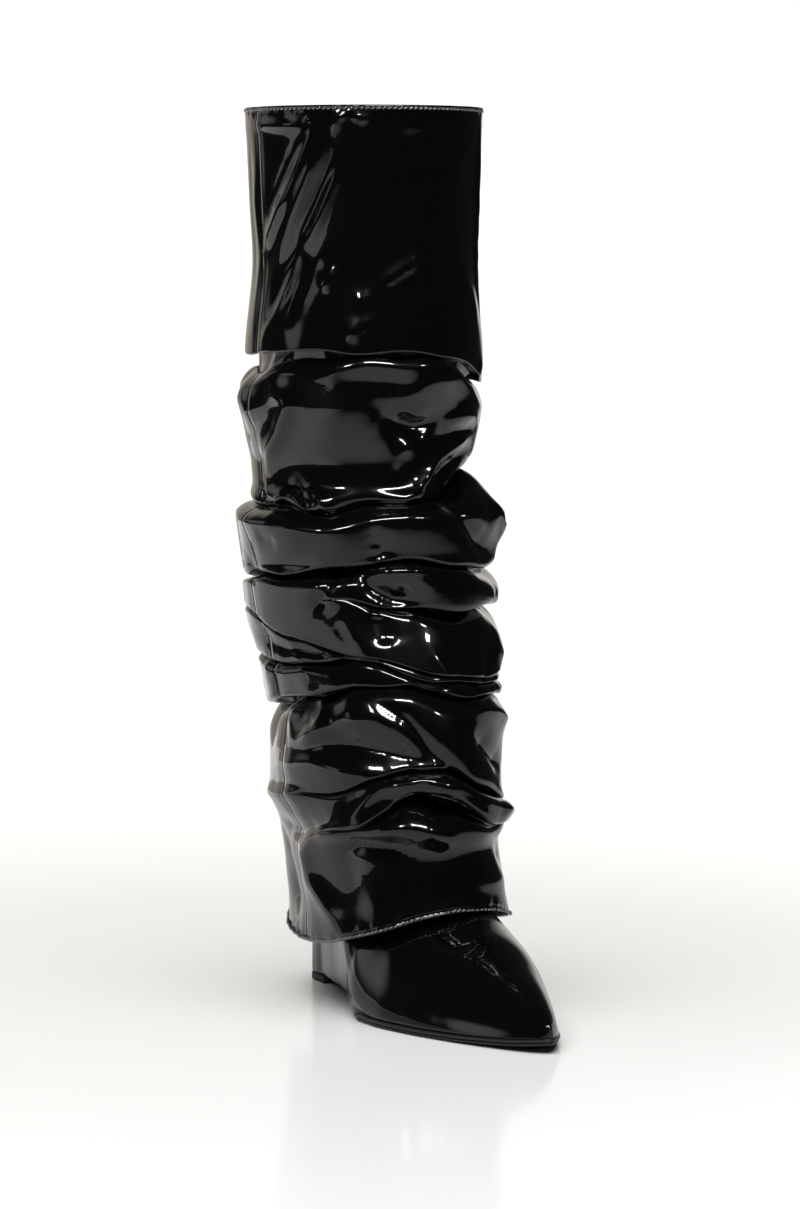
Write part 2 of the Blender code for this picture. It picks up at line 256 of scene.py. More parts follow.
# %% Floor
FLOOR_RADIUS = 2.0
HORIZON_RADIUS = 12.0
FLOOR_SIDES = 96
FLOOR_COLOUR = (0.86, 0.86, 0.855)
FLOOR_WHITENS = (0.3, 1.5)
FLOOR_GLOW = 0.5
FLOOR_DARKENS = (0.55, FLOOR_RADIUS)
LEAST_GLOOM = 0.35
LIT_SIDE = Vector((-0.8, 0.6, 0.0))
LIT_SIDE_STARTS = (0.15, 0.65)
LIT_SIDE_GLOOM = 0.2
PAPER_WHITE = 1.1


def floor_finish():
    """Pale and hardly glossy, so that the boot leaves a faint mirror image; further out it fades to
    plain white, with the distance from the boot. What the patent mirrors of it fades to black with
    the same distance, as in a room lit round the boot only, and less so on the lit side."""
    material, tree, shader = new_finish("studio_floor", FLOOR_COLOUR, Roughness=0.12, IOR=1.22,
                                        Emission_Color=WHITE)
    link = tree.links.new
    place = node_of(tree, "TexCoord").outputs["Object"]
    away = measured(tree, "LENGTH", place)
    white = ramp(tree, away, FLOOR_WHITENS, high=FLOOR_GLOW, course="LINEAR")
    link(white, shader.inputs["Emission Strength"])
    gloom = ramp(tree, away, FLOOR_DARKENS, low=LEAST_GLOOM)
    towards_light = measured(tree, "DOT_PRODUCT", place, LIT_SIDE)
    unlit = ramp(tree, towards_light, LIT_SIDE_STARTS, low=1.0, high=LIT_SIDE_GLOOM)
    mirrored = node_of(tree, "LightPath").outputs["Is Glossy Ray"]
    mixed = node_of(tree, "MixShader")
    link(product(tree, product(tree, gloom, unlit), mirrored), mixed.inputs["Fac"])
    link(shader.outputs["BSDF"], mixed.inputs[1])
    link(node_of(tree, "Emission", Color=BLACK).outputs["Emission"], mixed.inputs[2])
    link(mixed.outputs["Shader"], tree.nodes["Material Output"].inputs["Surface"])
    return material


def horizon_finish():
    """Plain white that gives its own light, for the floor towards the horizon."""
    return new_finish("studio_horizon", BLACK, Specular_IOR_Level=0, Emission_Color=WHITE,
                      Emission_Strength=PAPER_WHITE)[0]


def add_floor():
    """A disc under the boot, and a wide ring round it that no gloss mirrors: the boot's dark room
    starts where the disc ends."""
    turn = np.linspace(0, 2 * np.pi, FLOOR_SIDES, endpoint=False)
    ring = np.stack([np.cos(turn), np.sin(turn), np.zeros_like(turn)], axis=-1)
    disc = bpy.data.meshes.new("floor")
    disc.from_pydata((ring * FLOOR_RADIUS).tolist(), [], [tuple(range(FLOOR_SIDES))])
    wide = bpy.data.meshes.new("horizon")
    both = np.concatenate([ring * FLOOR_RADIUS, ring * HORIZON_RADIUS])
    wide.from_pydata(both.tolist(), [], grid_faces(2, FLOOR_SIDES, closed=True)[:, ::-1].tolist())
    for mesh, finish, mirrored in ((disc, floor_finish(), True), (wide, horizon_finish(), False)):
        floor = bpy.data.objects.new(mesh.name, mesh)
        floor.visible_glossy = mirrored
        scene.collection.objects.link(floor)
        mesh.materials.append(finish)


add_floor()
print("floor radius", FLOOR_RADIUS, "and horizon", HORIZON_RADIUS)

# %% [markdown]
# A white wall far behind lights the outline, two soft glows lie on the outer side, and the room in
# front stays dark. Boards could make all of it. They are in the world's shader instead, because
# they are so far away that only their direction counts.

# %% World
WALL_DIRECTION = Vector((0.21, 0.98, 0.05)).normalized()
WALL_EDGES = (0.76, 0.86)
WALL_ACROSS = Vector((0.98, -0.21, 0.0))
WALL_OUTER_TINT = (0.50, 0.46, 0.40, 1)
WALL_INNER_TINT = (1.0, 0.99, 0.97, 1)
DARK_ROOM = (0.018, 0.018, 0.020, 1)
GLOWS = [
    # direction, cosines of the angle from it where the glow starts and where it is full, brightness
    (Vector((-0.97, 0.20, 0.13)).normalized(), (0.985, 0.9995), 0.9),
    (Vector((-0.60, 0.74, 0.30)).normalized(), (0.955, 0.995), 0.6),
]
GLOW_BLUE = 1.04


def studio_world():
    """Directions near the wall are white, those above the camera's side dark, and on the outer side
    hang two soft glows. What the camera sees past the floor is plain white."""
    scene.world = bpy.data.worlds.new("studio")
    scene.world.use_nodes = True
    tree = scene.world.node_tree
    tree.nodes.clear()
    where = node_of(tree, "TexCoord").outputs["Generated"]
    inner_share = measured(tree, "DOT_PRODUCT", where, WALL_ACROSS)
    tint = blend(tree, inner_share, WALL_OUTER_TINT, WALL_INNER_TINT)
    on_wall = ramp(tree, measured(tree, "DOT_PRODUCT", where, WALL_DIRECTION), WALL_EDGES,
                   course="LINEAR")
    room = blend(tree, on_wall, DARK_ROOM, tint)
    for direction, edges, brightness in GLOWS:
        near = ramp(tree, measured(tree, "DOT_PRODUCT", where, direction), edges)
        room = blend(tree, near, room, (brightness, brightness, GLOW_BLUE * brightness, 1))
    seen = node_of(tree, "LightPath").outputs["Is Camera Ray"]
    light = node_of(tree, "Background")
    tree.links.new(blend(tree, seen, room, (*[PAPER_WHITE] * 3, 1)), light.inputs["Color"])
    tree.links.new(light.outputs["Background"], node_of(tree, "OutputWorld").inputs["Surface"])


studio_world()
print("world with a wall and", len(GLOWS), "glows")

# %% [markdown]
# A few small bright lamps draw the sparks, and one broad soft light from above lights the floor.
# Glowing boards could do it too, but a lamp can be kept out of the picture, and the broad one out
# of the gloss.

# %% Lamps
BOOT_MIDDLE = Vector((0.0, -0.06, 0.25))
SPARK_LAMPS = [
    # name, place, width and height, watts
    ("left_spark", (-1.9, -1.5, 1.9), (0.35, 0.35), 15),
    ("right_spark", (1.1, -2.2, 1.7), (0.20, 0.20), 6),
    ("front_strip", (-0.35, -2.0, 2.2), (1.5, 0.40), 75),
]
OVERHEAD_STRENGTH = 3.8
OVERHEAD_SPREAD = math.radians(70)
OVERHEAD_TURN = (math.radians(8), math.radians(-10), 0)


def add_lamp(name, kind, energy):
    """A lamp object of that kind, and its light."""
    light = bpy.data.lights.new(name, kind)
    light.energy = energy
    lamp = bpy.data.objects.new(name, light)
    scene.collection.objects.link(lamp)
    return lamp, light


def add_spark(name, place, size, watts):
    """A rectangular lamp, turned to the boot, that only the gloss shows."""
    lamp, light = add_lamp(name, "AREA", watts)
    light.shape = "RECTANGLE"
    light.size, light.size_y = size
    lamp.location = place
    lamp.rotation_euler = turned_to(BOOT_MIDDLE, Vector(place))
    lamp.visible_camera = False
    lamp.visible_diffuse = False


def add_overhead():
    """One broad soft light from above for the floor, unseen in the gloss."""
    lamp, light = add_lamp("overhead", "SUN", OVERHEAD_STRENGTH)
    light.angle = OVERHEAD_SPREAD
    lamp.rotation_euler = OVERHEAD_TURN
    lamp.visible_glossy = False


add_overhead()
for row in SPARK_LAMPS:
    add_spark(*row)
print("lamps", len(SPARK_LAMPS) + 1)

# %% [markdown]
# Black patent is a black sheet under a thick clear lacquer. One glossy layer could stand for both,
# but then lamps would have either sharp edges or a soft one. So the lacquer is the coat, smooth,
# and under it lies a duller black. The lacquer is never quite flat: two very shallow waves, one
# broad and one fine, bend the mirror image a little.

# %% Finishes
WAVE_DETAIL = 1.5
WAVE_ROUGHNESS = 0.45
PATENT_BLACK = (0.0016, 0.0016, 0.0018)
BROAD_WAVES = 95
FINE_WAVE = (420, 0.00001)
RUBBER_GRAIN = [(300, 0.00004), (2200, 0.00003)]
CLOTH_CELLS = 1700
CLOTH_RELIEF = 0.0002
CLOTH_SHADES = (1.25, 0.6)


def add_waves(tree, layers):
    """Bump from a chain of noise waves, each a scale per metre and a depth in metres."""
    place = node_of(tree, "TexCoord").outputs["Object"]
    normal = None
    for scale, depth in layers:
        noise = node_of(tree, "TexNoise", Scale=scale, Detail=WAVE_DETAIL, Roughness=WAVE_ROUGHNESS)
        bump = node_of(tree, "Bump", Strength=1.0, Distance=depth)
        tree.links.new(place, noise.inputs["Vector"])
        tree.links.new(noise.outputs["Fac"], bump.inputs["Height"])
        if normal is not None:
            tree.links.new(normal, bump.inputs["Normal"])
        normal = bump.outputs["Normal"]
    return normal


def patent_finish(name, wave_depth):
    """Black sheet under clear lacquer. The same waves bend the mirror image in both layers."""
    material, tree, shader = new_finish(name, PATENT_BLACK, Roughness=0.22, Specular_IOR_Level=0.08,
                                        Coat_Weight=1.0, Coat_Roughness=0.025, Coat_IOR=1.5)
    normal = add_waves(tree, [(BROAD_WAVES, wave_depth), FINE_WAVE])
    tree.links.new(normal, shader.inputs["Normal"])
    tree.links.new(normal, shader.inputs["Coat Normal"])
    return material


def rubber_finish(name, colour, roughness):
    """Moulded rubber: shallow unevenness and a fine grain, both in bump."""
    material, tree, shader = new_finish(name, colour, Roughness=roughness)
    tree.links.new(add_waves(tree, RUBBER_GRAIN), shader.inputs["Normal"])
    return material


def cloth_finish(name, colour):
    """Lining cloth: cells about 0.6 mm apart, lighter in the middle, raised and darker between."""
    material, tree, shader = new_finish(name, colour, Roughness=0.85, Sheen_Weight=0.25,
                                        Sheen_Roughness=0.5)
    link = tree.links.new
    cells = node_of(tree, "TexVoronoi", Scale=CLOTH_CELLS)
    link(node_of(tree, "TexCoord").outputs["Object"], cells.inputs["Vector"])
    bump = node_of(tree, "Bump", Strength=0.6, Distance=CLOTH_RELIEF)
    link(cells.outputs["Distance"], bump.inputs["Height"])
    link(bump.outputs["Normal"], shader.inputs["Normal"])
    shade = node_of(tree, "ValToRGB")
    for stop, factor in zip(shade.color_ramp.elements, CLOTH_SHADES):
        stop.color = (*[c * factor for c in colour], 1)
    link(cells.outputs["Distance"], shade.inputs["Fac"])
    link(shade.outputs["Color"], shader.inputs["Base Color"])
    return material


sleeve_patent = patent_finish("sleeve_patent", wave_depth=0.00010)
vamp_patent = patent_finish("vamp_patent", wave_depth=0.00006)
wedge_patent = patent_finish("wedge_patent", wave_depth=0.00003)
sole_rubber = rubber_finish("sole_rubber", (0.012, 0.012, 0.013), roughness=0.38)
lift_rubber = rubber_finish("lift_rubber", (0.014, 0.014, 0.014), roughness=0.55)
lining_cloth = cloth_finish("lining_cloth", (0.014, 0.013, 0.013))
footbed_cloth = cloth_finish("footbed_cloth", (0.030, 0.028, 0.026))
# The thread is black, but its colour is set to a dark grey so that diffuse light draws bright dots along
# the stitches: a painted highlight that stands in for their glints.
thread = new_finish("black_thread_greyed_for_painted_glints", (0.090, 0.090, 0.094), Roughness=0.25, Coat_Weight=1.0,
                    Coat_Roughness=0.12, Coat_IOR=1.8)[0]
print("patents", [finish.name for finish in (sleeve_patent, vamp_patent, wedge_patent)])

# %% [markdown]
# The sole's outline is one curve round the foot. Measured along an angle that runs from the back
# of the heel to the toe, instead of along a straight ruler, both ends come out round: the distance
# forward is a half cosine of that angle.

# %% The sole's outline and the feather line
SOLE = table("forward centre half_width", [
    (0.0000, 0.0080, 0.0000),
    (0.0020, 0.0080, 0.0098),
    (0.0080, 0.0080, 0.0178),
    (0.0250, 0.0078, 0.0252),
    (0.0500, 0.0055, 0.0276),
    (0.0800, 0.0005, 0.0285),
    (0.1050, -0.0025, 0.0345),
    (0.1300, -0.0022, 0.0420),
    (0.1550, -0.0003, 0.0437),
    (0.1800, 0.0013, 0.0398),
    (0.2050, 0.0020, 0.0320),
    (0.2300, 0.0022, 0.0212),
    (0.2480, 0.0024, 0.0116),
    (0.2575, 0.0025, 0.0040),
    (0.2592, 0.0025, 0.0024),
    (TOE_TIP, 0.0025, 0.0000),
])
FEATHER = table("forward height", [
    (0.000, 0.0850),
    (0.030, 0.0820),
    (0.050, 0.0720),
    (0.090, 0.0450),
    (0.115, 0.0220),
    (0.135, 0.0080),
    (0.150, 0.0042),
    (0.180, 0.0042),
    (0.210, 0.0046),
    (0.240, 0.0060),
    (TOE_TIP, 0.0080),
])
SLAB_FILL = 9
ANGLE_STEP = 1e-3
NO_LENGTH = 1e-12


def angle_of(forward):
    """The angle whose half cosine gives that distance forward."""
    return np.arccos(np.clip(1 - 2 * np.asarray(forward, float) / TOE_TIP, -1, 1))


def forward_of(angle):
    """The distance forward at an angle between the heel's back and the toe: its half cosine."""
    return TOE_TIP * (1 - np.cos(np.clip(angle, 0, np.pi))) / 2


SOLE["angle"] = angle_of(SOLE["forward"])


def stations(start, end, count):
    """Distances forward from start to end, crowded towards the heel's back and the toe."""
    return forward_of(np.linspace(angle_of(start), angle_of(end), count))


def half_width(forward):
    """Half the sole's width, read along the angle."""
    return along(SOLE, "half_width", angle_of(forward), by="angle")


def centre(forward):
    """The sole's middle line, sideways, read along the angle."""
    return along(SOLE, "centre", angle_of(forward), by="angle")


def feather(forward):
    """Height of the line where the upper meets the sole."""
    return along(FEATHER, "height", np.clip(forward, 0, TOE_TIP))


def rim(forward, hand):
    """The outline's distance sideways, on the outer side (hand -1) or the inner (+1)."""
    return centre(forward) + hand * half_width(forward)


def edge(forward, hand, outset):
    """One edge of the outline, moved outwards square to itself: the tangent is the change of the
    edge with the angle, and the outset goes along its normal."""
    angle = angle_of(forward)
    ahead, behind = forward_of(angle + ANGLE_STEP), forward_of(angle - ANGLE_STEP)
    across, onward = rim(ahead, hand) - rim(behind, hand), ahead - behind
    length = np.maximum(np.hypot(across, onward), NO_LENGTH)
    side = rim(forward, hand) + outset * hand * onward / length
    return side, forward - outset * hand * across / length


def slab(start, end, count, profile):
    """A layer with the sole's outline. profile runs down its edge: pairs of an outset and a height,
    each a function of the distance forward. Each section goes across the top, down the inner edge,
    back across the underside and up the outer edge, so the layer is one closed tube."""
    forward = stations(start, end, count)
    outer, inner = [], []
    for outset, height in profile:
        for hand, points in ((-1, outer), (1, inner)):
            points.append(placed(*edge(forward, hand, outset(forward)), height(forward)))
    share = np.linspace(0, 1, SLAB_FILL + 2)[1:-1, None, None]
    top = outer[0] * (1 - share) + inner[0] * share
    under = inner[-1] * (1 - share) + outer[-1] * share
    section = np.concatenate([np.array(outer[:1]), top, np.array(inner), under, np.array(outer[:0:-1])])
    return np.swapaxes(section, 0, 1)


def slab_piece(name, points, material, node):
    """A slab's grid as one closed mesh, which stands for a node."""
    faces = grid_faces(*points.shape[:2], closed=True)
    mesh = mesh_of(name, points.reshape(-1, 3), faces, merge=MERGE)
    add_piece(name, mesh, [material], node)
    print(name, len(mesh.polygons), "faces")


print("sole", TOE_TIP, "long and", round(2 * SOLE["half_width"].max(), 4), "wide")

# %% [markdown]
# The outsole is a thin moulded plate. A bevel on a flat plate would round its edge evenly, but this
# edge shows a proud rand on top, a narrow groove, and a plain lower layer whose corner is slightly
# rounded. So its profile has a point for each of these. The heel lift is made in the same way.

# %% Outsole and heel lift
WEDGE_FLOOR = 0.0045
BALL_START = 0.147
OUTSOLE_START = 0.135
OUTSOLE_SECTIONS = 150
LIFT_LENGTH = 0.028
LIFT_SECTIONS = 60
TREAD = table("forward height", [
    (0.128, 0.0000),
    (0.185, 0.0000),
    (0.210, 0.0005),
    (0.240, 0.0020),
    (TOE_TIP, 0.0040),
])
RAND = 0.42
OUTSOLE_EDGE = [
    # outset, share of the way down
    (0.0003, 0.0),
    (0.0007, 0.05),
    (0.0008, 0.15),
    (0.0008, RAND - 0.05),
    (0.0005, RAND),
    (-0.0004, RAND + 0.02),
    (-0.0005, RAND + 0.12),
    (0.0000, RAND + 0.15),
    (0.0001, 0.70),
    (-0.0003, 0.92),
    (-0.0009, 1.0),
]
WEDGE_FOOT = table("forward inset", [
    (0.0000, 0.0055),
    (0.0015, 0.0040),
    (0.0045, 0.0020),
    (0.0100, 0.0012),
    (0.0180, 0.0035),
    (0.0280, 0.0058),
    (0.0500, 0.0058),
    (0.1000, 0.0030),
    (0.1350, 0.0003),
    (TOE_TIP, 0.0000),
])
LIFT_EDGE = [
    # outset from the wedge's foot, height
    (-0.0003, WEDGE_FLOOR - FIT_GAP),
    (0.0000, WEDGE_FLOOR - 0.0006),
    (0.0000, 0.0006),
    (-0.0004, 0.0002),
    (-0.0008, 0.0),
]


def outsole_top(forward):
    """The plate lies under the wedge's flat foot, and from the ball on under the upper."""
    return np.where(forward < BALL_START, WEDGE_FLOOR, feather(forward)) - FIT_GAP


def outsole_under(forward):
    """The tread: flat under the ball, with the toe's spring in front of it."""
    return along(TREAD, "height", np.clip(forward, OUTSOLE_START, TOE_TIP))


def between(share):
    """Height at a share of the way from the outsole's top to its underside."""
    return lambda f: outsole_top(f) * (1 - share) + outsole_under(f) * share


def constant(value):
    """The same value all along the foot."""
    return lambda f: np.full_like(f, value)


def foot_outset(more):
    """The wedge's foot lies inside the sole's outline; more moves the edge further out."""
    return lambda f: more - along(WEDGE_FOOT, "inset", f)


outsole_edge = [(constant(outset), between(share)) for outset, share in OUTSOLE_EDGE]
slab_piece("outsole_plate", slab(OUTSOLE_START, TOE_TIP, OUTSOLE_SECTIONS, outsole_edge),
           sole_rubber, "outsole")
lift_edge = [(foot_outset(more), constant(height)) for more, height in LIFT_EDGE]
slab_piece("heel_top_piece", slab(0.0, LIFT_LENGTH, LIFT_SECTIONS, lift_edge),
           lift_rubber, "heel_lift")

# %% [markdown]
# The wedge is a light block wrapped in the same patent. Its sides lean in towards the floor with
# a slight hollow, and its lower edge is rounded, because the sheet is pulled round the corner. It
# could be a tapered box, but a slab with the sole's outline keeps its top on the feather line.

# %% Wedge
WEDGE_END = 0.144
WEDGE_SECTIONS = 140
WEDGE_HOLLOW = 0.0008
WEDGE_LEVELS = np.linspace(0, 0.985, 20)
WEDGE_ROUNDING = [
    # outset from the foot, height above it
    (-0.0006, 0.0001),
    (-0.0016, 0.0),
]


def wedge_level(share):
    """One level of the wedge's side, from the feather line (share 0) to its foot (share 1). It leans
    in with the share and is hollowed by a half sine of it."""
    def outset(f):
        lean = -along(WEDGE_FOOT, "inset", f) * share
        return lean - WEDGE_HOLLOW * np.sin(np.pi * share)

    def height(f):
        top = np.maximum(feather(f) - FIT_GAP, WEDGE_FLOOR)
        return top * (1 - share) + WEDGE_FLOOR * share
    return outset, height


wedge_edge = [wedge_level(share) for share in WEDGE_LEVELS]
wedge_edge += [(foot_outset(more), constant(WEDGE_FLOOR + lift)) for more, lift in WEDGE_ROUNDING]
slab_piece("wedge_block", slab(0.0, WEDGE_END, WEDGE_SECTIONS, wedge_edge),
           wedge_patent, "wedge_heel")

# %% [markdown]
# Inside lies the footbed, a thin board covered in cloth. It could be cut from a flat sheet and bent.
# The slab of the sole does it at once, with a small inset and the feather line's height.

# %% Footbed
INSOLE_INSET = 0.0028
INSOLE_THICKNESS = 0.0025
INSOLE_START = 0.0035
INSOLE_END = 0.247
INSOLE_SECTIONS = 120
FOOTBED_EDGE = [
    # outset, height above the feather line
    (-INSOLE_INSET - 0.0008, INSOLE_THICKNESS),
    (-INSOLE_INSET - 0.0002, INSOLE_THICKNESS - 0.0003),
    (-INSOLE_INSET, INSOLE_THICKNESS - 0.0009),
    (-INSOLE_INSET, FIT_GAP),
]


def bed(height):
    """A level at that height above the feather line."""
    return lambda f: feather(f) + height


footbed_edge = [(constant(outset), bed(height)) for outset, height in FOOTBED_EDGE]
slab_piece("footbed", slab(INSOLE_START, INSOLE_END, INSOLE_SECTIONS, footbed_edge),
           footbed_cloth, "insole")

# %% [markdown]
# The upper is one wall from toe to collar. It could be sculpted, but sections keep to sizes. Each
# section is an arch from the feather line up to the ridge of the foot, and above the ankle the
# arches close into rings. The same function makes both, so the vamp runs into the leg without a
# step.

# %% Vamp and inner leg
UPPER_WALL = 0.0018
ARCH_POINTS = 49
NO_WIDTH = 1e-9
FOOT_SECTIONS = 150
LEG_SECTIONS = 130
LINING = 1
FOOT = table("forward ridge_forward ridge_height ridge_side half_width", [
    (0.0000, 0.0985, 0.1580, -0.0030, 0.0360),
    (0.0035, 0.0985, 0.1525, -0.0030, 0.0355),
    (0.0100, 0.0985, 0.1470, -0.0030, 0.0352),
    (0.0280, 0.0995, 0.1350, -0.0025, 0.0348),
    (0.0500, 0.1020, 0.1210, 0.0000, 0.0350),
    (0.0750, 0.1065, 0.1060, 0.0030, 0.0360),
    (0.1000, 0.1150, 0.0920, 0.0060, 0.0380),
    (0.1250, 0.1290, 0.0785, 0.0070, 0.0395),
    (0.1500, 0.1480, 0.0655, 0.0075, 0.0400),
    (0.1750, 0.1690, 0.0548, 0.0075, 0.0380),
    (0.2000, 0.1920, 0.0470, 0.0065, 0.0300),
    (0.2200, 0.2120, 0.0385, 0.0045, 0.0200),
    (0.2360, 0.2295, 0.0310, 0.0030, 0.0100),
    (0.2480, 0.2440, 0.0240, 0.0015, 0.0050),
    (0.2555, 0.2535, 0.0187, 0.0005, 0.0020),
    (0.2590, 0.2586, 0.0150, 0.0000, 0.0010),
    (TOE_TIP, TOE_TIP, 0.0130, 0.0000, 0.0000),
])
LEG = table("row back_forward back_height front_forward front_height side half_width", [
    (0, 0.0000, 0.0850, 0.0985, 0.1580, 0.0080, 0.0360),
    (1, -0.0030, 0.1100, 0.0990, 0.1720, 0.0050, 0.0370),
    (2, 0.0025, 0.1400, 0.1000, 0.1900, 0.0040, 0.0385),
    (3, 0.0080, 0.1750, 0.1015, 0.2100, 0.0025, 0.0410),
    (4, 0.0080, 0.2150, 0.1035, 0.2350, 0.0015, 0.0440),
    (5, 0.0065, 0.2600, 0.1050, 0.2680, 0.0005, 0.0465),
    (6, 0.0050, 0.3100, 0.1065, 0.3120, 0.0000, 0.0485),
    (7, 0.0030, 0.3600, 0.1080, 0.3610, 0.0000, 0.0505),
    (8, 0.0010, 0.4100, 0.1100, 0.4105, 0.0000, 0.0520),
    (9, -0.0040, 0.4550, 0.1145, 0.4555, 0.0000, 0.0580),
    (10, -0.0080, 0.4700, 0.1190, 0.4700, 0.0000, 0.0612),
    (11, -0.0080, 0.4790, 0.1190, 0.4790, 0.0000, 0.0613),
])


def arches(low, high, foot_half, widest, middle, ridge_side):
    """Arches from an outer foot over the ridge to an inner foot, one per row. The angle runs from
    where the sine gives the foot's half width to a half turn: the reach sideways is its sine, and
    the rise from low to high, each (forward, height), goes with its cosine."""
    widest = np.maximum(widest, foot_half)
    sine = np.clip(foot_half / np.maximum(widest, NO_WIDTH), 0, 1)
    first = np.where(widest > 0, np.arcsin(sine), np.pi / 2)
    turn = first[:, None] + (np.pi - first[:, None]) * np.linspace(0, 1, ARCH_POINTS)[None, :]
    rise = (np.cos(first)[:, None] - np.cos(turn)) / (np.cos(first)[:, None] + 1)
    reach = widest[:, None] * np.sin(turn)
    forward = low[0][:, None] + (high[0] - low[0])[:, None] * rise
    height = low[1][:, None] + (high[1] - low[1])[:, None] * rise
    line = middle[:, None] + ridge_side[:, None] * rise ** 2
    outer = placed(line - reach, forward, height)
    inner = placed(line + reach, forward, height)
    return np.concatenate([outer, inner[:, -2::-1]], axis=1)


def upper_points():
    """The upper as a grid: arches from the toe back to the heel, and the leg's rings above them."""
    forward = stations(0.0, TOE_TIP, FOOT_SECTIONS)[::-1]
    shape = {name: along(FOOT, name, forward) for name in FOOT}
    foot = arches((forward, feather(forward)), (shape["ridge_forward"], shape["ridge_height"]),
                  half_width(forward), shape["half_width"], centre(forward), shape["ridge_side"])
    row = np.linspace(0, LEG["row"][-1], LEG_SECTIONS + 1)[1:]
    leg = {name: along(LEG, name, row, by="row") for name in LEG}
    back, front = ((leg[end + "_forward"], leg[end + "_height"]) for end in ("back", "front"))
    lean = np.interp(row, (0, 1), (FOOT["ridge_side"][0], 0.0))
    rings = arches(back, front, np.zeros_like(row), leg["half_width"], leg["side"], lean)
    return np.concatenate([foot, rings])


def add_wall(piece, thickness):
    """Solidify, inwards from the surface, with the lining on the inside."""
    wall = piece.modifiers.new("wall", "SOLIDIFY")
    wall.thickness = thickness
    wall.offset = -1.0
    wall.material_offset = LINING


upper = upper_points()
upper_faces = grid_faces(*upper.shape[:2], closed=False)
upper_mesh = mesh_of("vamp_and_leg", upper.reshape(-1, 3), upper_faces, merge=MERGE, fill=False)
vamp = add_piece("vamp_and_leg", upper_mesh, [vamp_patent, lining_cloth], "upper")
add_wall(vamp, UPPER_WALL)
print("vamp_and_leg", len(upper_mesh.polygons), "faces before its wall")

# %% [markdown]
# The sleeve is what makes this boot: a tube of patent much longer than the leg it hangs on,
# pushed down until it lies in folds. Without its folds it would be a plain tube, so that comes
# first: an ellipse at each height, from the collar down to the hem over the vamp.

# %% The plain tube
SLEEVE_WALL = 0.0012
SLEEVE_COLUMNS = 256
FINE_ANGLES = 181
TUBE = table("height half_width half_depth forward side taper swing", [
    (0.030, 0.0535, 0.0895, 0.0815, 0.0010, 0.10, 0.0080),
    (0.046, 0.0530, 0.0885, 0.0812, 0.0010, 0.10, 0.0080),
    (0.070, 0.0530, 0.0850, 0.0775, 0.0000, 0.07, 0.0080),
    (0.090, 0.0540, 0.0838, 0.0762, -0.0008, 0.02, 0.0080),
    (0.097, 0.0560, 0.0855, 0.0785, -0.0012, 0.01, 0.0080),
    (0.104, 0.0572, 0.0870, 0.0798, -0.0015, 0.00, 0.0072),
    (0.120, 0.0575, 0.0835, 0.0770, -0.0010, 0.00, 0.0050),
    (0.140, 0.0580, 0.0790, 0.0762, 0.0000, 0.00, 0.0030),
    (0.173, 0.0610, 0.0725, 0.0732, 0.0010, 0.00, 0.0005),
    (0.210, 0.0678, 0.0695, 0.0642, -0.0005, 0.00, 0.0000),
    (0.250, 0.0690, 0.0690, 0.0603, 0.0000, 0.00, 0.0000),
    (0.262, 0.0690, 0.0690, 0.0595, 0.0000, 0.00, 0.0000),
    (0.272, 0.0640, 0.0652, 0.0575, -0.0003, 0.00, 0.0000),
    (0.280, 0.0605, 0.0618, 0.0552, -0.0005, 0.00, 0.0000),
    (0.290, 0.0602, 0.0615, 0.0540, -0.0005, 0.00, 0.0000),
    (0.304, 0.0622, 0.0634, 0.0535, -0.0005, 0.00, 0.0000),
    (0.322, 0.0640, 0.0652, 0.0535, -0.0005, 0.00, 0.0000),
    (0.346, 0.0642, 0.0655, 0.0552, 0.0000, 0.00, 0.0000),
    (0.400, 0.0600, 0.0615, 0.0555, 0.0000, 0.00, 0.0000),
    (0.427, 0.0613, 0.0630, 0.0555, 0.0000, 0.00, 0.0000),
    (0.480, 0.0635, 0.0655, 0.0555, 0.0000, 0.00, 0.0000),
])


def even_angles(height, columns):
    """Angles round each ring, from the outer side seam over the front to the inner one and back, that
    cut each half of its ellipse into equal lengths: the length along the half is summed up on a
    fine scale of angles, and read backwards."""
    wide = along(TUBE, "half_width", height, by="height")[:, None]
    deep = along(TUBE, "half_depth", height, by="height")[:, None]
    fine = np.linspace(-np.pi / 2, np.pi / 2, FINE_ANGLES)
    piece = np.hypot(wide * np.cos(fine), deep * np.sin(fine))
    run = np.cumsum((piece[:, 1:] + piece[:, :-1]) / 2, axis=1)
    run = np.concatenate([np.zeros((len(height), 1)), run / run[:, -1:]], axis=1)
    share = np.arange(columns // 2) / (columns // 2)
    half = np.array([np.interp(share, one, fine) for one in run])
    return np.concatenate([half, half + np.pi], axis=1)


def on_tube(angle, height, push):
    """Points on the tube at angles (0 in front, a quarter turn on the inner side) and heights, moved
    outwards by push. The ellipse is widened in front by taper, its back swung inwards by swing."""
    level = np.clip(height, TUBE["height"][0], TUBE["height"][-1])
    ring = {name: along(TUBE, name, level, by="height") for name in TUBE}
    cos, sin = np.cos(angle), np.sin(angle)
    wide = ring["half_width"] * (1 + ring["taper"] * cos) + push
    side = ring["side"] + ring["swing"] * (1 - cos) / 2 + wide * sin
    return placed(side, ring["forward"] + (ring["half_depth"] + push) * cos, height)


print("plain tube", round(TUBE["height"][-1] - TUBE["height"][0], 3), "tall")

# %% [markdown]
# The folds are divided by valleys that wander round the leg. Each valley is one row: its height
# above the floor at a few angles, and its depth there. A valley of no depth is a fold that runs
# out. Between two valleys the sheet bulges: it leaves the upper valley in a round shoulder and
# turns back into the lower one under a lip, which sags. Under the cuff a plain strip lies set in.
# A cloth simulation could fold the tube by itself, but not where this boot has its folds.

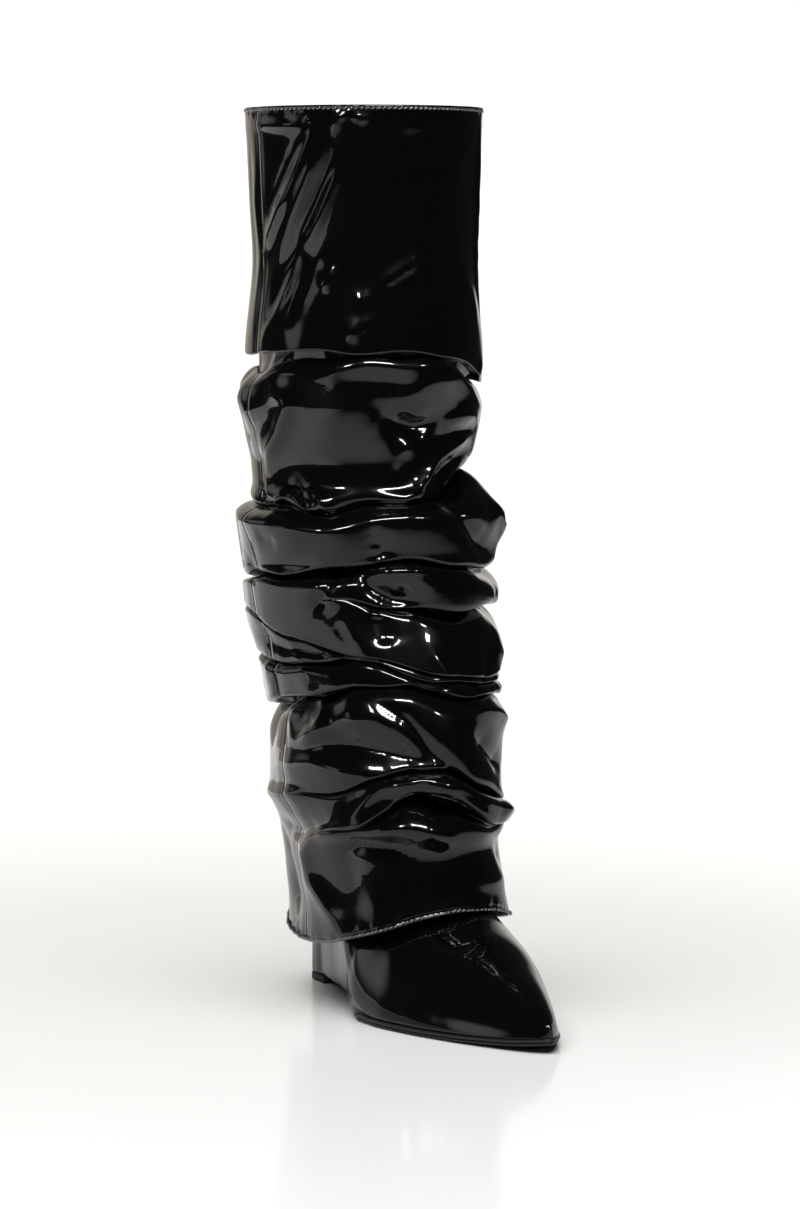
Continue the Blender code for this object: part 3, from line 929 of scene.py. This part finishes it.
# %% Valleys and folds
MM_PER_METRE = 1000
FOLD_ANGLES = (-120, -95, -75, -55, -38, -20, 0, 20, 40, 60, 90, 125, 160, 200)
VALLEY_HEIGHTS = np.array([
    (480,) * len(FOLD_ANGLES),
    (351, 351, 351, 351, 351, 352, 350, 347, 341, 336, 338, 344, 349, 351),
    (341, 340, 343, 346, 348, 350, 348, 344, 337, 332, 334, 338, 342, 342),
    (270, 267, 267, 266, 267, 269, 270, 273, 280, 285, 281, 274, 270, 271),
    (229, 230, 231, 234, 237, 239, 239, 237, 233, 232, 236, 239, 236, 231),
    (222, 224, 224, 222, 220, 216, 215, 214, 213, 213, 214, 212, 212, 217),
    (214, 213, 204, 198, 192, 188, 184, 180, 178, 180, 186, 190, 194, 205),
    (187, 187, 186, 187, 190, 184, 178, 175, 174, 176, 180, 184, 186, 188),
    (160, 163, 168, 173, 176, 176, 172, 170, 168, 166, 162, 158, 156, 157),
    (104, 112, 118, 120, 126, 133, 132, 122, 114, 112, 116, 120, 116, 108),
    (94, 96, 97, 101, 111, 118, 116, 107, 101, 99, 100, 102, 98, 95),
    (36.5, 34.5, 37, 43.5, 49.5, 55.5, 58.5, 57.5, 53, 47, 41, 43, 48, 46),
]) / MM_PER_METRE
VALLEY_DEPTHS = np.array([
    (0,) * len(FOLD_ANGLES),
    (8, 8, 8, 7, 6, 5, 5, 6, 7, 8, 8, 9, 9, 8),
    (7, 7, 7, 6, 5, 5, 5, 6, 7, 8, 8, 8, 8, 7),
    (8, 8, 9, 9, 9, 9, 9, 10, 11, 11, 10, 9, 9, 9),
    (17, 16, 13, 10, 10, 10, 10, 11, 14, 16, 14, 12, 13, 15),
    (0, 0, 0, 0, 0.5, 7, 9, 10, 13, 14, 12, 9, 6, 2),
    (8, 9, 9, 9, 7, 6, 6, 6, 6, 7, 8, 8, 8, 8),
    (7, 7, 7, 6, 5, 4, 4, 4, 4, 5, 6, 6, 6, 6),
    (15, 16, 14, 10, 7, 6, 6, 6, 6, 7, 8, 9, 9, 12),
    (0, 0, 1, 4, 6, 7, 7, 7, 8, 7, 4, 4, 4, 2),
    (0, 0, 0, 3, 9, 12, 12, 10, 6, 2, 1, 2, 2, 0),
    (0,) * len(FOLD_ANGLES),
]) / MM_PER_METRE
FOLDS = table("rows shoulder lip lip_power belly sag tilt set_in", [
    # grid rows, roundings as multiples of the valleys' depth, the lip's arc, then mm, and 1 for a strip
    (70, 0.5, 0.4, 2.0, 0.0, 4.0, 0.0, 0),
    (10, 0.5, 0.5, 2.0, 0.0, 0.0, 0.0, 1),
    (62, 1.2, 1.1, 1.6, 0.5, 0.5, -3.0, 0),
    (36, 0.9, 0.4, 2.0, 1.0, 1.0, -4.0, 0),
    (24, 1.2, 0.5, 2.0, 1.5, 2.5, -3.0, 0),
    (28, 1.0, 0.4, 2.0, 1.0, 4.0, 1.5, 0),
    (16, 0.5, 0.4, 2.0, 0.0, 1.5, 0.0, 0),
    (22, 0.8, 0.4, 2.0, 0.5, 2.0, -1.0, 0),
    (46, 1.5, 0.7, 2.0, 1.5, 1.0, -1.5, 0),
    (26, 0.4, 0.5, 2.0, 0.0, 1.5, 0.0, 0),
    (36, 1.6, 0.5, 2.0, 0.0, 0.0, 0.0, 0),
])
LEAST_FOLD = 0.001
LEAST_ROUNDING = 0.002
SHOULDER_SHARES = (0.02, 0.5)
SHOULDER_POWER = 1.5
LIP_SHARES = (0.02, 0.8)
FULL_DEPTH = 0.004
SAG_DEPTH = 0.008
HEIGHT_WAVES = ((0.0011, 5), (0.0008, 9))
DEPTH_WAVES = ((0.18, 4), (0.16, 7))
WANDER = np.random.default_rng(5).uniform(0, 2 * np.pi, (len(VALLEY_HEIGHTS), 4))


def round_leg(values, angle):
    """A smooth closed curve through a valley's values at FOLD_ANGLES, read at angles in radians. Three
    values from the other end are put before and after them, so that the curve joins up."""
    known = np.array(FOLD_ANGLES, float)
    turns = {"angle": np.concatenate([known[-3:] - 360, known, known[:3] + 360]),
             "value": np.concatenate([values[-3:], values, values[:3]])}
    degrees = (np.degrees(angle) - known[0]) % 360 + known[0]
    return along(turns, "value", degrees, by="angle")


def quarter_round(share, power):
    """From 1 at share 0 to nothing at share 1: along a quarter circle where power is 2, along a
    flatter arc where it is less."""
    return 1 - (1 - (1 - np.clip(share, 0, 1)) ** power) ** (1 / power)


def waves(sizes, angle, phases):
    """A sum of sines round the leg: pairs of a size and a number of waves, each with its phase."""
    return sum(size * np.sin(many * angle + phase) for (size, many), phase in zip(sizes, phases))


def wander(valley, angle):
    """Small waves of a valley's height, in metres, and of its depth, as a factor, of seeded phase.
    Collar and hem keep their height."""
    phase = WANDER[valley]
    height = waves(HEIGHT_WAVES, angle, phase[:2]) * (0 < valley < len(WANDER) - 1)
    return height, 1 + waves(DEPTH_WAVES, angle, phase[2:])


def valley_at(valley, angle):
    """Height and depth of one valley at angles round the leg."""
    height, depth = wander(valley, angle)
    return (round_leg(VALLEY_HEIGHTS[valley], angle) + height,
            np.maximum(round_leg(VALLEY_DEPTHS[valley], angle) * depth, 0))


def fold_profile(fold, t, angle):
    """Plain height, sagged height and push of one fold at shares t of the way down it. Shoulder and
    lip are quarter rounds, as long as the valley beside them is deep, times the fold's own factor;
    the belly is a half sine, tilt makes the fold wider towards its lip, and the sag is deepest just
    above the lip. Belly and tilt fade where one of the two valleys runs out."""
    t = t[:, None]
    shape = {name: FOLDS[name][fold] for name in FOLDS}
    (top, deep_above), (bottom, deep_below) = (valley_at(k, angle) for k in (fold, fold + 1))
    length = np.maximum(top - bottom, LEAST_FOLD)
    plain = top - length * t
    shoulder = np.maximum(shape["shoulder"] * deep_above, LEAST_ROUNDING) / length
    shoulder = np.clip(shoulder, *SHOULDER_SHARES)
    lip = np.clip(np.maximum(shape["lip"] * deep_below, LEAST_ROUNDING) / length, *LIP_SHARES)
    from_lip = np.clip((1 - t) / lip, 0, 1)
    hang = np.minimum(np.clip(t / (1 - lip), 0, 1) ** 3, np.sin(np.pi / 2 * from_lip))
    sag = shape["sag"] / MM_PER_METRE * hang * deep_below / SAG_DEPTH
    if shape["set_in"]:
        push = -deep_above * (1 - t) - deep_below * t
    else:
        own = np.clip(np.minimum(deep_above, deep_below) / FULL_DEPTH, 0, 1)
        push = own * (shape["belly"] * np.sin(np.pi * t) + shape["tilt"] * (t - 0.5)) / MM_PER_METRE
        push = push - deep_above * quarter_round(t / shoulder, SHOULDER_POWER)
        push = push - deep_below * quarter_round(from_lip, shape["lip_power"])
    return plain, plain - sag, push


print("folds", len(FOLDS["rows"]), "with", int(FOLDS["rows"].sum()) + 1, "rows of points")

# %% [markdown]
# The folds carry single creases: dents in the bellies, ridges that run off sideways, flat facets,
# pinches. Each is written down as a line on the sleeve, in degrees round the leg and millimetres
# up from the floor, with a depth and a width, and pressed in or out as a soft trough or ridge that
# fades at both ends. Sculpting would do as well, but a table can be read and changed.

# %% Creases, listed one by one
MM_PER_DEGREE = 1.10
CREASES = [
    # push in mm (+ out), width in mm, line of (degrees, mm up)
    # the smooth cuff: long slanting creases towards the outer side
    (2.4, 5, [(-46, 464), (-53, 448), (-63, 426), (-79, 392)]),
    (-1.8, 5, [(-40, 458), (-48, 440), (-57, 418), (-72, 388)]),
    (2.2, 4, [(-54, 421), (-64, 400), (-73, 379)]),
    (2.0, 4, [(-64, 437), (-76, 419), (-90, 403)]),
    (2.0, 4, [(-56, 397), (-63, 379), (-69, 365)]),
    (-1.6, 5, [(-49, 408), (-57, 388), (-63, 368)]),
    (2.2, 4, [(-41, 396), (-49, 384)]),
    (2.0, 4, [(4, 401), (-9, 394), (-20, 386)]),
    (1.8, 4, [(-23, 381), (-32, 378)]),
    (2.0, 6, [(-22, 370), (-30, 366), (-36, 360)]),
    (1.4, 6, [(30, 392), (42, 380), (46, 366)]),
    (1.8, 3.5, [(-50, 472), (-57, 456), (-68, 434), (-82, 412)]),
    (1.8, 3.5, [(-36, 452), (-46, 430), (-56, 408)]),
    (-1.5, 4, [(-60, 464), (-70, 446), (-84, 424)]),
    (-1.5, 4, [(-58, 412), (-68, 392), (-80, 372)]),
    (1.6, 3.5, [(-66, 390), (-74, 374), (-84, 360)]),
    (1.0, 9, [(-34, 470), (-24, 450), (-30, 424)]),
    (-1.2, 9, [(-8, 466), (4, 440), (-6, 414)]),
    (1.0, 8, [(16, 470), (24, 446), (18, 420)]),
    (1.6, 3, [(-99, 471), (-78, 470), (-58, 469)]),
    (1.5, 2.5, [(-42, 467), (-40, 473), (-35, 475)]),
    (1.5, 2.5, [(-33, 475), (-28, 472), (-24, 475)]),
    (1.2, 2.5, [(-55, 474), (-52, 471)]),
    (0.8, 4, [(-94, 452), (-97, 430), (-93, 400), (-97, 366)]),
    (-0.9, 4, [(-102, 462), (-105, 430), (-101, 388)]),
    (2.2, 3.5, [(50, 474), (48, 440), (52, 404), (56, 374)]),
    # first fold under the cuff
    (-6.0, 8, [(-17, 320), (-6, 313), (4, 310), (16, 314), (27, 320)]),
    (-2.5, 4, [(-12, 315), (0, 311), (12, 313)]),
    (-2.0, 6, [(-36, 336), (-14, 335), (2, 331)]),
    (2.0, 6, [(-10, 325), (8, 334), (24, 336)]),
    (2.5, 4, [(4, 306), (16, 314), (32, 316), (48, 315)]),
    (-3.0, 4, [(10, 303), (28, 308), (50, 308)]),
    (3.5, 6, [(-76, 334), (-64, 322), (-70, 308), (-80, 296), (-84, 284)]),
    (4.0, 11, [(-108, 328), (-94, 322), (-90, 310)]),
    (1.2, 3, [(-10, 287), (-9, 297), (0, 302)]),
    (3.5, 4, [(-6, 274), (5, 281), (16, 293), (30, 301), (46, 308)]),
    (-7.0, 8, [(10, 279), (26, 289), (50, 297)]),
    # gathers in the valley under it
    (2.5, 3, [(-52, 279), (-48, 273), (-46, 265)]),
    (-2.5, 3, [(-62, 279), (-57, 268)]),
    (2.5, 3, [(-70, 277), (-80, 268)]),
    (-2.0, 3, [(-90, 277), (-86, 268)]),
    # second fold, with a knob on the inner side
    (5.0, 10, [(44, 270), (58, 262), (60, 250)]),
    (-4.5, 5, [(13, 272), (21, 262), (31, 251), (46, 243)]),
    (-3.0, 3.5, [(-23, 255), (-20, 247), (-25, 242)]),
    (-1.5, 4, [(-82, 252), (-70, 250)]),
    (4.5, 10, [(-106, 262), (-80, 260), (-46, 258)]),
    (-3.0, 10, [(-104, 238), (-76, 238), (-48, 240)]),
    (-3.0, 3.5, [(58, 267), (66, 258), (62, 248)]),
    (2.0, 2.5, [(50, 263), (57, 255), (55, 246)]),
    # third fold: a tongue from the inner side over a wide facet on the outer side
    (4.0, 3.5, [(-36, 235), (-27, 237), (-11, 237), (9, 236), (32, 233)]),
    (-6.5, 5, [(-32, 233), (-24, 226), (-16, 222), (-4, 221)]),
    (4.0, 12, [(-106, 231), (-72, 230), (-46, 226), (-36, 220)]),
    (1.5, 4, [(-40, 216), (-36, 206), (-33, 196)]),
    (-3.5, 6, [(-23, 214), (-22, 198)]),
    (-4.0, 8, [(-104, 202), (-78, 195), (-54, 191), (-38, 187)]),
    (1.5, 3, [(-76, 190), (-58, 190), (-42, 191)]),
    # fourth fold, a band that sweeps across
    (2.0, 10, [(-102, 178), (-90, 174)]),
    # the big soft bulges over the ankle
    (4.0, 4.5, [(-68, 174), (-62, 163), (-66, 152), (-78, 144)]),
    (4.5, 10, [(-112, 152), (-90, 157), (-76, 158)]),
    (3.5, 14, [(-56, 155), (-35, 162), (-17, 154)]),
    (-5.5, 7, [(-64, 143), (-47, 145), (-29, 142), (-8, 137)]),
    (4.0, 10, [(-103, 127), (-70, 134), (-49, 131), (-37, 133)]),
    (-3.0, 4, [(-35, 170), (-21, 159), (-9, 143), (6, 130), (21, 117)]),
    (4.5, 6, [(10, 167), (40, 159), (60, 149)]),
    (-4.5, 6, [(16, 150), (30, 140), (50, 129)]),
    (3.0, 8, [(40, 196), (56, 188)]),
    # the flap, the nose under it and the skirt
    (4.0, 4, [(-52, 109), (-36, 124), (-16, 129), (5, 125), (23, 115), (48, 107)]),
    (5.0, 6, [(34, 111), (50, 107), (60, 106)]),
    (4.0, 6, [(-124, 111), (-100, 112), (-74, 117)]),
    (-4.0, 7, [(-114, 96), (-86, 95), (-64, 104)]),
    (4.0, 7, [(-84, 90), (-57, 99), (-38, 101), (-22, 101)]),
    (-5.0, 4.5, [(-58, 95), (-40, 95), (-24, 93)]),
    (2.0, 5, [(-22, 102), (-10, 98), (3, 95)]),
    (3.0, 12, [(2, 75), (28, 72), (60, 70)]),
    (3.5, 7, [(-74, 98), (-84, 83), (-81, 69), (-68, 54), (-63, 40)]),
    (-5.0, 9, [(-120, 92), (-108, 70), (-100, 44)]),
    (2.5, 8, [(-66, 41), (-50, 45), (-32, 52)]),
    (-2.0, 7, [(38, 92), (48, 74), (52, 58)]),
    # the back and the inner side, cuff first
    (2.2, 6, [(118, 458), (128, 430), (142, 396)]),
    (-1.6, 6, [(126, 452), (138, 420), (150, 390)]),
    (2.0, 6, [(232, 440), (222, 410), (214, 378)]),
    (1.8, 5, [(176, 412), (188, 392), (204, 372)]),
    (-1.5, 8, [(168, 462), (180, 436), (174, 408)]),
    (-4.0, 7, [(112, 316), (130, 310), (150, 314)]),
    (3.0, 6, [(158, 330), (176, 318), (196, 312)]),
    (-4.0, 6, [(214, 330), (222, 312), (216, 290)]),
    (2.5, 4, [(150, 280), (170, 286), (190, 282)]),
    (-3.5, 5, [(112, 262), (124, 250), (128, 240)]),
    (3.0, 8, [(170, 262), (196, 254)]),
    (-3.0, 4, [(206, 262), (212, 246)]),
    (-3.0, 5, [(120, 224), (142, 216), (158, 206)]),
    (2.5, 6, [(180, 218), (204, 212)]),
    (-2.5, 4, [(140, 174), (150, 166)]),
    (-4.5, 7, [(104, 150), (124, 142), (146, 136)]),
    (4.0, 10, [(160, 146), (186, 140), (206, 136)]),
    (-4.0, 5, [(216, 152), (208, 136), (200, 122)]),
    (3.0, 6, [(120, 128), (150, 124)]),
    (2.5, 8, [(110, 86), (118, 66), (122, 50)]),
    (-2.5, 8, [(150, 88), (156, 66), (158, 52)]),
    (2.5, 7, [(196, 84), (204, 64), (208, 50)]),
]
print("creases by hand", len(CREASES))

# %% [markdown]
# Finer still are the gathers, short pleats where a valley catches the spare width of the sheet.
# A noise texture would spread over the whole sleeve. Seeded draws place them at the valleys only,
# and they are pressed in by the formula of the creases.

# %% Gathers, and the push of all creases
GATHERS_PER_VALLEY = 9
GATHER_RANGES = {"place": (-180, 180), "lift": (-3, 5), "slant": (-9, 9), "reach": (6, 15),
                 "width": (2.2, 4.0), "push": (-2.4, 2.0)}
GATHER_SHORT_END = 0.6
FLAP_VALLEY = 9
FLAP_REACH = (-130, 75)
CREASE_POWER = 1.5
CREASE_FADE = 3
CREASE_END = 0.25
HALF_TURN = 180 * MM_PER_DEGREE


def gathers():
    """Short pleats across the valleys: seeded places in degrees, and lifts, slants, lengths, widths
    and depths in mm. The flap in front has none."""
    draw = np.random.default_rng(23)
    found = []
    for valley in range(2, len(VALLEY_HEIGHTS) - 1):
        for _ in range(GATHERS_PER_VALLEY):
            one = {name: draw.uniform(*ends) for name, ends in GATHER_RANGES.items()}
            place, slant, reach = one["place"], one["slant"], one["reach"]
            if valley >= FLAP_VALLEY and FLAP_REACH[0] < place < FLAP_REACH[1]:
                continue
            middle = round_leg(VALLEY_HEIGHTS[valley], np.radians(place)) * MM_PER_METRE + one["lift"]
            below = (place + GATHER_SHORT_END * slant, middle - GATHER_SHORT_END * reach)
            found.append((one["push"], one["width"],
                          [(place - slant, middle + reach), (place, middle), below]))
    return found


GATHERS = gathers()


def crease_push(angle_degrees, height_mm):
    """Sum of all creases at each point. Across its line a crease is a bell, exp of minus the distance
    over the width to the power 1.5, and along it fades in and out near both ends."""
    push = np.zeros(np.broadcast(angle_degrees, height_mm).shape)
    for depth, width, line in CREASES + GATHERS:
        line = np.array(line, float)
        line[:, 0] *= MM_PER_DEGREE
        leg = np.diff(line, axis=0)
        leg_length = np.hypot(*leg.T)
        start = np.concatenate([[0], np.cumsum(leg_length)])
        nearest = np.full(push.shape, np.inf)
        reached = np.zeros(push.shape)
        for corner, step, length, before in zip(line, leg, leg_length, start):
            off = angle_degrees * MM_PER_DEGREE - corner[0]
            off = (off + HALF_TURN) % (2 * HALF_TURN) - HALF_TURN
            up = height_mm - corner[1]
            t = np.clip((off * step[0] + up * step[1]) / length ** 2, 0, 1)
            gap = np.hypot(off - t * step[0], up - t * step[1])
            closer = gap < nearest
            nearest = np.where(closer, gap, nearest)
            reached = np.where(closer, before + t * length, reached)
        share = reached / start[-1]
        fade = np.clip(np.minimum(share, 1 - share) * CREASE_FADE + CREASE_END, 0, 1)
        push += depth * fade * np.exp(-(nearest / width) ** CREASE_POWER)
    return push / MM_PER_METRE


print("gathers", len(GATHERS))

# %% [markdown]
# Collar and hem are turned edges: a small roll, a groove under the stitches, and puckers beside it.
# The side seams leave a shallow groove. And the sheet must not cut through the leg inside. A plain
# maximum of the two shapes would leave a sharp line where they meet, so a soft one is taken.

# %% Edges, seams and the leg inside
EDGE_STITCH = 0.0018
EDGE_ROLL = 0.0007
EDGE_GROOVE_WIDTH = 0.0006
PUCKER_WAVES = [(0.00016, many) for many in (29, 41, 47, 53, 61)]
PUCKER_PLACE = 1.4 * EDGE_STITCH
PUCKER_WIDTH = 0.0025
PUCKERS = np.random.default_rng(31).uniform(0, 2 * np.pi, len(PUCKER_WAVES))
SEAM_GROOVE = 0.0004
SEAM_RADIUS = 0.062
SEAM_WIDTH = 0.0002
LEG_ROOM = SLEEVE_WALL + FIT_GAP
LEG_SOFTNESS = 100
LEG_LEVELS = 221
RING_ROUNDS = 6


def edge_push(distance, angle):
    """A turned edge: a small roll along it, a groove where it is stitched down, and puckers above the
    stitches, which are five sines round the leg of seeded phase."""
    roll = EDGE_ROLL * np.sin(np.pi * np.clip(distance / EDGE_STITCH, 0, 1))
    groove = -EDGE_ROLL * np.exp(-((distance - EDGE_STITCH) / EDGE_GROOVE_WIDTH) ** 2)
    puckers = waves(PUCKER_WAVES, angle, PUCKERS)
    return roll + groove + puckers * np.exp(-((distance - PUCKER_PLACE) / PUCKER_WIDTH) ** 2)


def seam_push(angle):
    """Depth of the groove at the two side seams, about 9 mm across: a bell of what the sine of the
    angle lacks to one, which grows with the square of the distance from the seam."""
    lack = np.arcsin(np.clip(1 - np.abs(np.sin(angle)), 0, 1)) * SEAM_RADIUS
    return SEAM_GROOVE * np.exp(-(lack / SEAM_WIDTH) ** 2)


def clear_of_leg(points):
    """Points moved outwards where they would lie inside the leg, and the factor of each move. A ring
    of the leg is an ellipse in a tilted plane, and the ring through a point is found by a few rounds
    of following that plane to the ring's middle. The distance from there, as a share of the ellipse
    with the sleeve's wall round it, is kept above one by a soft maximum: both to a high power, added,
    and the root."""
    side, forward, height = points[..., 0], HEEL_BACK_Y - points[..., 1], points[..., 2]
    row = np.linspace(0, LEG["row"][-1], LEG_LEVELS)
    leg = {name: along(LEG, name, row, by="row") for name in LEG}
    level = (leg["back_height"] + leg["front_height"]) / 2
    middle = (leg["back_forward"] + leg["front_forward"]) / 2
    deep = (leg["front_forward"] - leg["back_forward"]) / 2
    tilt = (leg["front_height"] - leg["back_height"]) / (2 * deep)
    ring = height
    for _ in range(RING_ROUNDS):
        ring = height - np.interp(ring, level, tilt) * (forward - np.interp(ring, level, middle))
    side_middle, wide, forward_middle, deep = (
        np.interp(ring, level, values) for values in (leg["side"], leg["half_width"], middle, deep))
    off_side, off_forward = side - side_middle, forward - forward_middle
    share = np.hypot(off_side / (wide + LEG_ROOM), off_forward / (deep + LEG_ROOM))
    grown = np.where(ring > level[0], (share ** LEG_SOFTNESS + 1) ** (1 / LEG_SOFTNESS) / share, 1)
    return placed(side_middle + off_side * grown, forward_middle + off_forward * grown, height), grown


print("room between the sleeve's surface and the leg", LEG_ROOM)

# %% [markdown]
# Now all of it becomes one grid. Modifiers could be stacked for folds, creases and edges, but each
# of these is only a distance outwards from the plain tube, so the distances are simply added.

# %% The whole sleeve
MOVED = 1.003


def sleeve_points(columns, row_counts):
    """The whole sleeve as a grid, fold after fold from the collar to the hem. Rows crowd towards the
    valleys: the share of the way down a fold is a half cosine."""
    plain, height, push, angle = [], [], [], []
    for fold, count in enumerate(row_counts):
        last = fold == len(row_counts) - 1
        step = np.linspace(0, 1, count + 1)[:count + last]
        t = (1 - np.cos(np.pi * step)) / 2
        middle = VALLEY_HEIGHTS[fold].mean() * (1 - t) + VALLEY_HEIGHTS[fold + 1].mean() * t
        angle.append(even_angles(middle, columns))
        for rows, values in zip((plain, height, push), fold_profile(fold, t, angle[-1])):
            rows.append(values)
    plain, height, push, angle = (np.concatenate(rows) for rows in (plain, height, push, angle))
    push = push + crease_push(np.degrees(angle), plain * MM_PER_METRE)
    push = push + edge_push(plain[:1] - plain, angle) + edge_push(plain - plain[-1:], angle)
    points, grown = clear_of_leg(on_tube(angle, height, push - seam_push(angle)))
    print("share of the sleeve that lies on the leg", round((grown > MOVED).mean(), 3))
    return points


sleeve = sleeve_points(SLEEVE_COLUMNS, FOLDS["rows"].astype(int))
steps_down = np.linalg.norm(np.diff(sleeve, axis=0), axis=2)
lengths = np.percentile(steps_down.sum(0), (0, 50, 100))
print("sleeve", sleeve.shape, "length down it", np.round(lengths, 3))

# %% [markdown]
# The sleeve is cut as two panels, front and back, sewn together along both sides of the leg. At
# each side seam the edge of the panel turns in, which leaves a fine groove. The tube could stay
# whole, but a panel is a sheet whose flat size can be stated: half the girth and the length down
# its middle, as it was cut.

# %% The two panels
HALF = SLEEVE_COLUMNS // 2
PANEL_CUT = (0.22, 0.56)


def panel(name, points):
    """One half of the sleeve as a sheet with a wall. Its UV map is its place on the flat cut."""
    faces = grid_faces(*points.shape[:2], closed=False)[:, ::-1]
    girth = np.linspace(0, PANEL_CUT[0], points.shape[1])
    down = np.linspace(0, PANEL_CUT[1], points.shape[0])
    across = np.stack(np.broadcast_arrays(girth[None, :], down[:, None]), axis=-1).reshape(-1, 2)
    mesh = mesh_of(name, points.reshape(-1, 3), faces, across)
    piece = add_piece(name, mesh, [sleeve_patent, lining_cloth], "slouch_shaft")
    add_wall(piece, SLEEVE_WALL)
    width = np.linalg.norm(np.diff(points, axis=1), axis=2).sum(1).mean()
    print(name, len(mesh.polygons), "faces before its wall, mean width", round(width, 3))


panel("sleeve_front", sleeve[:, :HALF + 1])
panel("sleeve_back", np.concatenate([sleeve[:, HALF:], sleeve[:, :1]], axis=1))

# %% [markdown]
# The collar and the hem are turned in and stitched down. A stitch is a short piece of thread with
# round ends. An Array modifier on a curve could repeat it. Here one row is a single mesh, the same
# small capsule set down again and again along a line on the sleeve, because the grid already knows
# the direction and the outward side at each place.

# %% Stitches
STITCH_PITCH = 0.0029
STITCH_LENGTH = 0.0026
STITCH_RADIUS = 0.00065
STITCH_LIFT = 0.4
STITCH_SLANT = math.radians(20)
STITCH_SIDES = 6
STITCH_RINGS = np.array([-1.0, -0.9, -0.55, 0.0, 0.55, 0.9, 1.0])
STITCH_MERGE = 0.00001


def line_on_sleeve(row):
    """A closed line along one row of the grid, and its outward directions: the cross product of the
    steps round the leg and down it."""
    line = sleeve[row]
    around = np.roll(line, -1, 0) - np.roll(line, 1, 0)
    outward = np.cross(around, sleeve[row - 1] - sleeve[row + 1])
    return line, outward / np.linalg.norm(outward, axis=1, keepdims=True)


def stitch_row(name, row):
    """Capsules at even distances along a line. Along its slanted axis a capsule's girth is the root
    of one less the fourth power of the share of its half length, so its ends are round and full."""
    line, outward = line_on_sleeve(row)
    closed, facing = (np.concatenate([values, values[:1]]) for values in (line, outward))
    run = np.concatenate([[0], np.cumsum(np.linalg.norm(np.diff(closed, axis=0), axis=1))])
    count = int(run[-1] / STITCH_PITCH)
    at = np.linspace(0, run[-1], count, endpoint=False)

    def read(values, where):
        return np.stack([np.interp(where % run[-1], run, values[:, k]) for k in range(3)], axis=-1)
    axis = read(closed, at + STITCH_LENGTH / 2) - read(closed, at - STITCH_LENGTH / 2)
    axis /= np.linalg.norm(axis, axis=1, keepdims=True)
    up = read(facing, at)
    axis = axis * math.cos(STITCH_SLANT) + np.cross(up, axis) * math.sin(STITCH_SLANT)
    across = np.cross(up, axis)
    middle = read(closed, at) + STITCH_LIFT * STITCH_RADIUS * up
    turn = np.linspace(0, 2 * np.pi, STITCH_SIDES, endpoint=False)
    girth = STITCH_RADIUS * np.sqrt(1 - STITCH_RINGS ** 4)[:, None]
    parts = ((axis, np.broadcast_to(STITCH_RINGS[:, None] * STITCH_LENGTH / 2, (len(girth), len(turn)))),
             (up, girth * np.cos(turn)), (across, girth * np.sin(turn)))
    points = middle[:, None, None] + sum(way[:, None, None] * size[..., None] for way, size in parts)
    one = grid_faces(len(STITCH_RINGS), STITCH_SIDES, closed=True)
    first = np.arange(count)[:, None, None] * len(STITCH_RINGS) * STITCH_SIDES
    mesh = mesh_of(name, points.reshape(-1, 3), (one + first).reshape(-1, 4), merge=STITCH_MERGE)
    add_piece(name, mesh, [thread])
    print(name, count, "stitches,", len(mesh.polygons), "faces")


from_top = np.concatenate([[0], np.cumsum(steps_down.mean(1))])
for name, distance in (("collar_stitches", from_top), ("hem_stitches", from_top[-1] - from_top)):
    stitch_row(name, int(np.argmin(np.abs(distance - EDGE_STITCH))))
